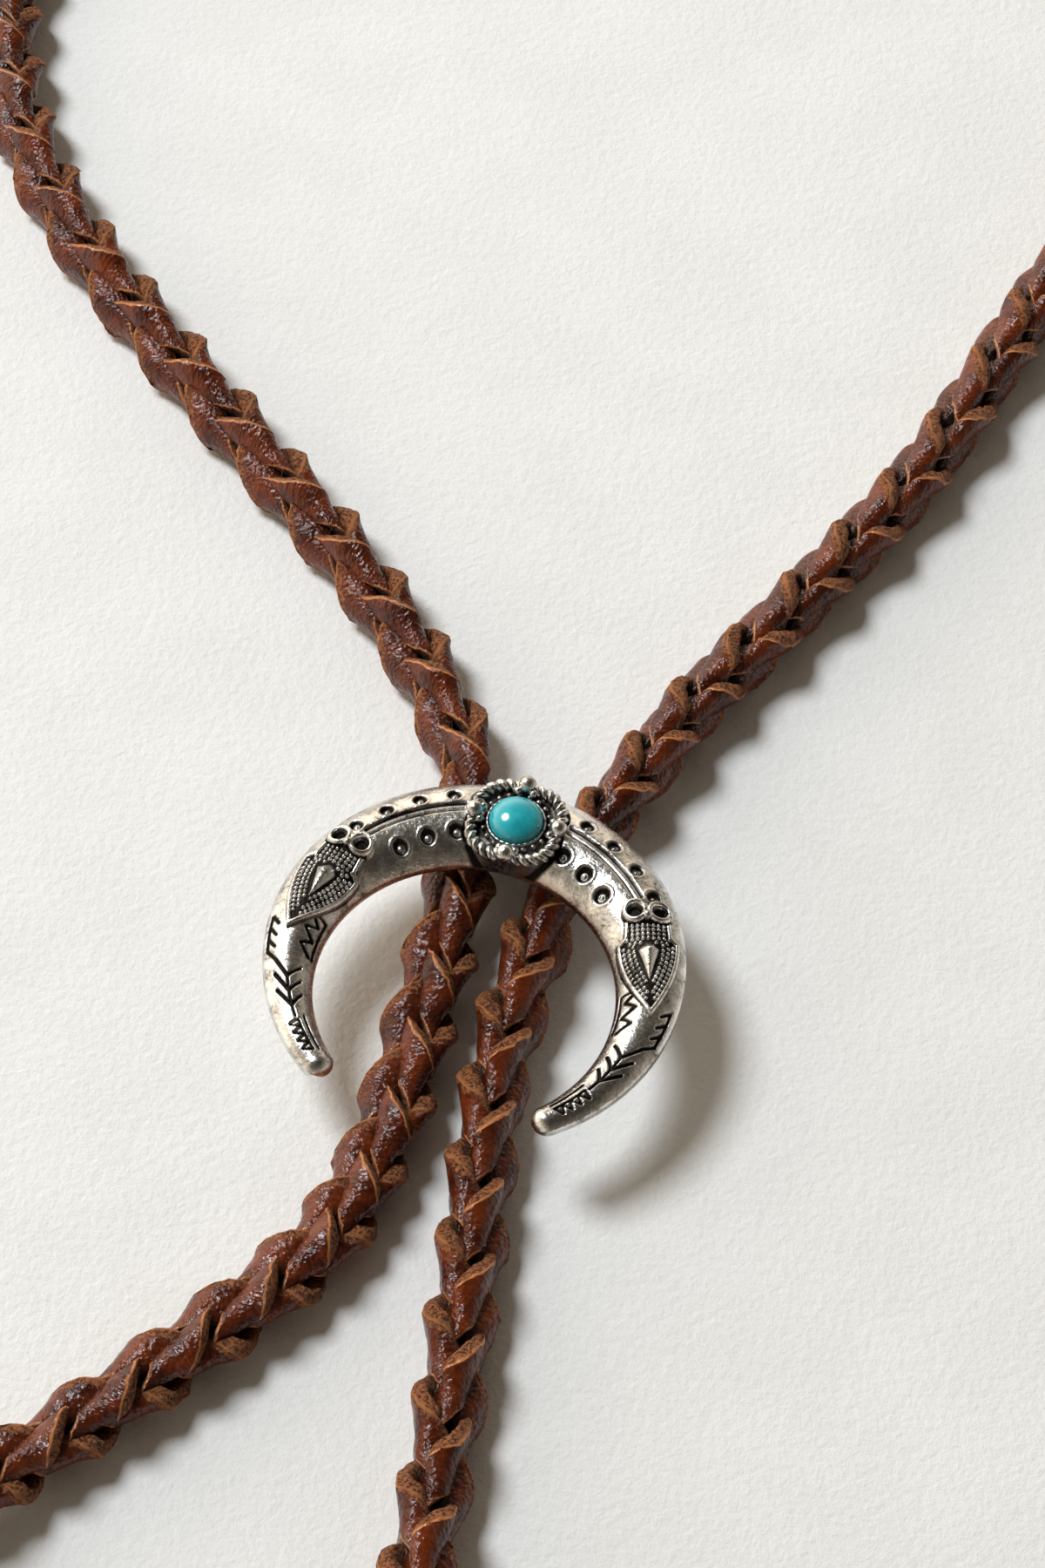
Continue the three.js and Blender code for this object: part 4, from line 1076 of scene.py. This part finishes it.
def blend(tree, share, first, second):
    made = node(tree, "ShaderNodeMix", data_type="RGBA")
    put(tree, share, made.inputs[0])
    put(tree, first, made.inputs[6])
    put(tree, second, made.inputs[7])
    return made.outputs[2]


def maths(tree, operation, first, second=0.0, clamp=False):
    made = node(tree, "ShaderNodeMath", {0: first, 1: second}, operation=operation, use_clamp=clamp)
    return made.outputs[0]


def plus(tree, first, second, clamp=False):
    return maths(tree, "ADD", first, second, clamp)


def times(tree, first, second):
    return maths(tree, "MULTIPLY", first, second)


def bump(tree, height, strength, distance, normal=None):
    values = {"Height": height, "Strength": strength, "Distance": distance}
    if normal is not None:
        values["Normal"] = normal
    return node(tree, "ShaderNodeBump", values).outputs[0]


def layer(tree, name):
    return node(tree, "ShaderNodeAttribute", attribute_name=name, attribute_type="GEOMETRY").outputs["Fac"]


def silver_material():
    material, tree, shader, where = tree_of("antique_silver")
    cloud = noise(tree, where, 380, 5, 0.62)
    speck = noise(tree, where, 2200, 4, 0.68)
    fine = noise(tree, where, 6500, 2, 0.6)
    dark = layer(tree, "dark")
    tarnish = spread(tree, cloud, 0.42, 0.66, 0.0, 0.85)
    pits = spread(tree, speck, 0.48, 0.66, 0.0, 0.8)
    film = times(tree, tarnish, plus(tree, pits, 0.27))
    oxide = plus(tree, dark, film, clamp=True)
    metal = blend(tree, spread(tree, cloud, 0.3, 0.7), (0.9, 0.88, 0.84, 1), (0.62, 0.6, 0.56, 1))
    metal = blend(tree, times(tree, layer(tree, "warm"), 0.75), metal, (0.5, 0.3, 0.2, 1))
    put(tree, blend(tree, oxide, metal, (0.016, 0.013, 0.011, 1)), shader.inputs["Base Color"])
    shader.inputs["Metallic"].default_value = 1.0
    rough = spread(tree, speck, 0.35, 0.75, 0.13, 0.3)
    put(tree, plus(tree, rough, times(tree, oxide, 0.3)), shader.inputs["Roughness"])
    first = bump(tree, cloud, 0.3, 0.0005)
    second = bump(tree, speck, 0.4, 0.00012, first)
    third = bump(tree, fine, 0.25, 0.00003, second)
    put(tree, third, shader.inputs["Normal"])
    return material


def leather_material():
    material, tree, shader, where = tree_of("braided_leather")
    lengthwise = node(tree, "ShaderNodeTexCoord").outputs["UV"]
    raw = layer(tree, "raw")
    tone = noise(tree, where, 260, 3, 0.6)
    patch = noise(tree, where, 900, 4, 0.6)
    fuzz = noise(tree, where, 2600, 5, 0.72)
    fibrous = noise(tree, where, 7000, 3, 0.6)
    cells = {"Vector": lengthwise, "Scale": 24.0, "Randomness": 1.0}
    grain = node(tree, "ShaderNodeTexVoronoi", cells, feature="SMOOTH_F1").outputs["Distance"]
    scaled = {"Vector": lengthwise, "Scale": (9.0, 26.0, 1.0)}
    stretched = node(tree, "ShaderNodeMapping", scaled).outputs[0]
    crease = noise(tree, stretched, 1.0, 3, 0.6, 0.5)
    deep = blend(tree, spread(tree, tone, 0.3, 0.72), (0.045, 0.006, 0.0015, 1), (0.17, 0.03, 0.006, 1))
    top = blend(tree, spread(tree, patch, 0.5, 0.8, 0, 0.5), deep, (0.04, 0.009, 0.005, 1))
    pale = blend(tree, spread(tree, fuzz, 0.4, 0.58), (0.05, 0.011, 0.003, 1), (0.52, 0.185, 0.06, 1))
    pale = blend(tree, spread(tree, patch, 0.5, 0.72, 0, 0.75), pale, (0.14, 0.045, 0.02, 1))
    edge = plus(tree, raw, spread(tree, fuzz, 0.35, 0.7, -0.2, 0.2), clamp=True)
    bare = spread(tree, edge, 0.35, 0.65)
    colour = blend(tree, bare, top, pale)
    # painted highlight: a pale tan line along each lace's corners, where the edge catches the light
    rim = spread(tree, layer(tree, "rim"), 0.35, 0.85, 0, 0.85)
    colour = blend(tree, rim, colour, (0.58, 0.22, 0.075, 1))
    # painted shade: the laces are darkened almost to black where they lie deep in the cord, in the gaps
    # between them
    painted_shade = times(tree, layer(tree, "painted_shade"), 0.93)
    put(tree, blend(tree, painted_shade, colour, (0.008, 0.003, 0.002, 1)), shader.inputs["Base Color"])
    gloss = spread(tree, crease, 0.3, 0.7, 0.12, 0.26)
    put(tree, plus(tree, gloss, times(tree, bare, 0.5)), shader.inputs["Roughness"])
    shader.inputs["Specular IOR Level"].default_value = 0.34
    smooth_part = maths(tree, "SUBTRACT", 1.0, bare)
    pebble = plus(tree, grain, times(tree, crease, 0.8))
    first = bump(tree, times(tree, pebble, smooth_part), 0.6, 0.0003)
    rough_height = times(tree, plus(tree, fuzz, times(tree, fibrous, 0.5)), bare)
    second = bump(tree, rough_height, 1.0, 0.0007, first)
    put(tree, second, shader.inputs["Normal"])
    return material


def turquoise_material():
    material, tree, shader, where = tree_of("turquoise")
    cloud = noise(tree, where, 380, 4, 0.6)
    speck = noise(tree, where, 1500, 3, 0.6)
    base = blend(tree, spread(tree, cloud, 0.32, 0.7), (0.008, 0.31, 0.37, 1), (0.025, 0.45, 0.5, 1))
    base = blend(tree, spread(tree, speck, 0.6, 0.8, 0, 0.35), base, (0.01, 0.2, 0.23, 1))
    bent = noise(tree, where, 240, 3, 0.6)
    x, y, _ = node(tree, "ShaderNodeSeparateXYZ", {0: where}).outputs
    line = plus(tree, times(tree, x, 0.52), y)
    line = plus(tree, line, times(tree, maths(tree, "SUBTRACT", bent, 0.5), 0.0022))
    gap = maths(tree, "ABSOLUTE", plus(tree, line, 0.00165))
    vein = spread(tree, gap, 0.00004, 0.00017, 0.75, 0.0)
    put(tree, blend(tree, vein, base, (0.045, 0.07, 0.06, 1)), shader.inputs["Base Color"])
    shader.inputs["Roughness"].default_value = 0.16
    shader.inputs["Specular IOR Level"].default_value = 0.62
    shader.inputs["Coat Weight"].default_value = 0.35
    shader.inputs["Coat Roughness"].default_value = 0.08
    first = bump(tree, cloud, 0.12, 0.0002)
    put(tree, bump(tree, speck, 0.1, 0.00004, first), shader.inputs["Normal"])
    return material


def surface_material():
    material, tree, shader, where = tree_of("pale_surface")
    broad = noise(tree, where, 60, 4, 0.6)
    pulp = noise(tree, where, 900, 5, 0.65)
    put(
        tree,
        blend(tree, spread(tree, broad, 0.35, 0.65), (0.83, 0.822, 0.79, 1), (0.86, 0.852, 0.822, 1)),
        shader.inputs["Base Color"],
    )
    shader.inputs["Roughness"].default_value = 0.85
    shader.inputs["Specular IOR Level"].default_value = 0.2
    put(tree, bump(tree, pulp, 0.6, 0.0003, bump(tree, broad, 0.1, 0.001)), shader.inputs["Normal"])
    return material


silver = silver_material()
leather = leather_material()
turquoise = turquoise_material()

# Assembly
braid_piece = finish_piece(braid(), leather, "braided_cord")
finish_piece(crescent(), silver, "crescent")
for side in (-1, 1):
    finish_piece(arrow_plate(side), silver)
finish_piece(setting(), silver, "stone_setting")
finish_piece(stone(), turquoise, "turquoise_stone")
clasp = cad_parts["back_clasp"]
clasp.data.materials.clear()
clasp.data.materials.append(silver)
turned = [finish_piece(tip(name), silver, name) for name in TIPS]

# Surface
FLOOR_REACH = 3
floor_mesh = bpy.data.meshes.new("surface")
corners = [(-1, -1), (1, -1), (1, 1), (-1, 1)]
floor_mesh.from_pydata([(FLOOR_REACH * x, FLOOR_REACH * y, 0) for x, y in corners], [], [(0, 1, 2, 3)])
floor = new_object("surface", floor_mesh)
floor_mesh.materials.append(surface_material())


# Light: a fairly small soft light from the upper left, and a bright room that darkens overhead
KEY_AT = (-0.99, 0.3, 1.47)
KEY_SIZE = 0.66
KEY_POWER = 30.2
KEY_COLOUR = (0.887, 0.94, 1)
ROOM_COLOUR = (1, 0.86, 0.69, 1)
ROOM_STRENGTH = 1.75

key_data = bpy.data.lights.new("key", "AREA")
key_data.shape = "DISK"
key_data.size = KEY_SIZE
key_data.energy = KEY_POWER
key_data.color = KEY_COLOUR
key = new_object("key", key_data)
key.location = KEY_AT
key.rotation_mode = "QUATERNION"
key.rotation_quaternion = Vector(KEY_AT).to_track_quat("Z", "Y")

world = bpy.data.worlds.new("world")
world.use_nodes = True
bpy.context.scene.world = world
sky = world.node_tree
background = sky.nodes["Background"]
direction = node(sky, "ShaderNodeTexCoord").outputs["Generated"]
x, y, z = node(sky, "ShaderNodeSeparateXYZ", {0: direction}).outputs
level = spread(sky, z, 0.1, 0.85, 1.0, 0.1)
from_left = spread(sky, x, -0.8, 0.7, 1.5, 0.22)
from_back = spread(sky, y, -0.9, 0.3, 0.3, 1.0)
glow = times(sky, times(sky, level, from_left), from_back)
background.inputs["Color"].default_value = ROOM_COLOUR
put(sky, times(sky, glow, ROOM_STRENGTH), background.inputs["Strength"])

bpy.context.scene.view_settings.view_transform = "Standard"
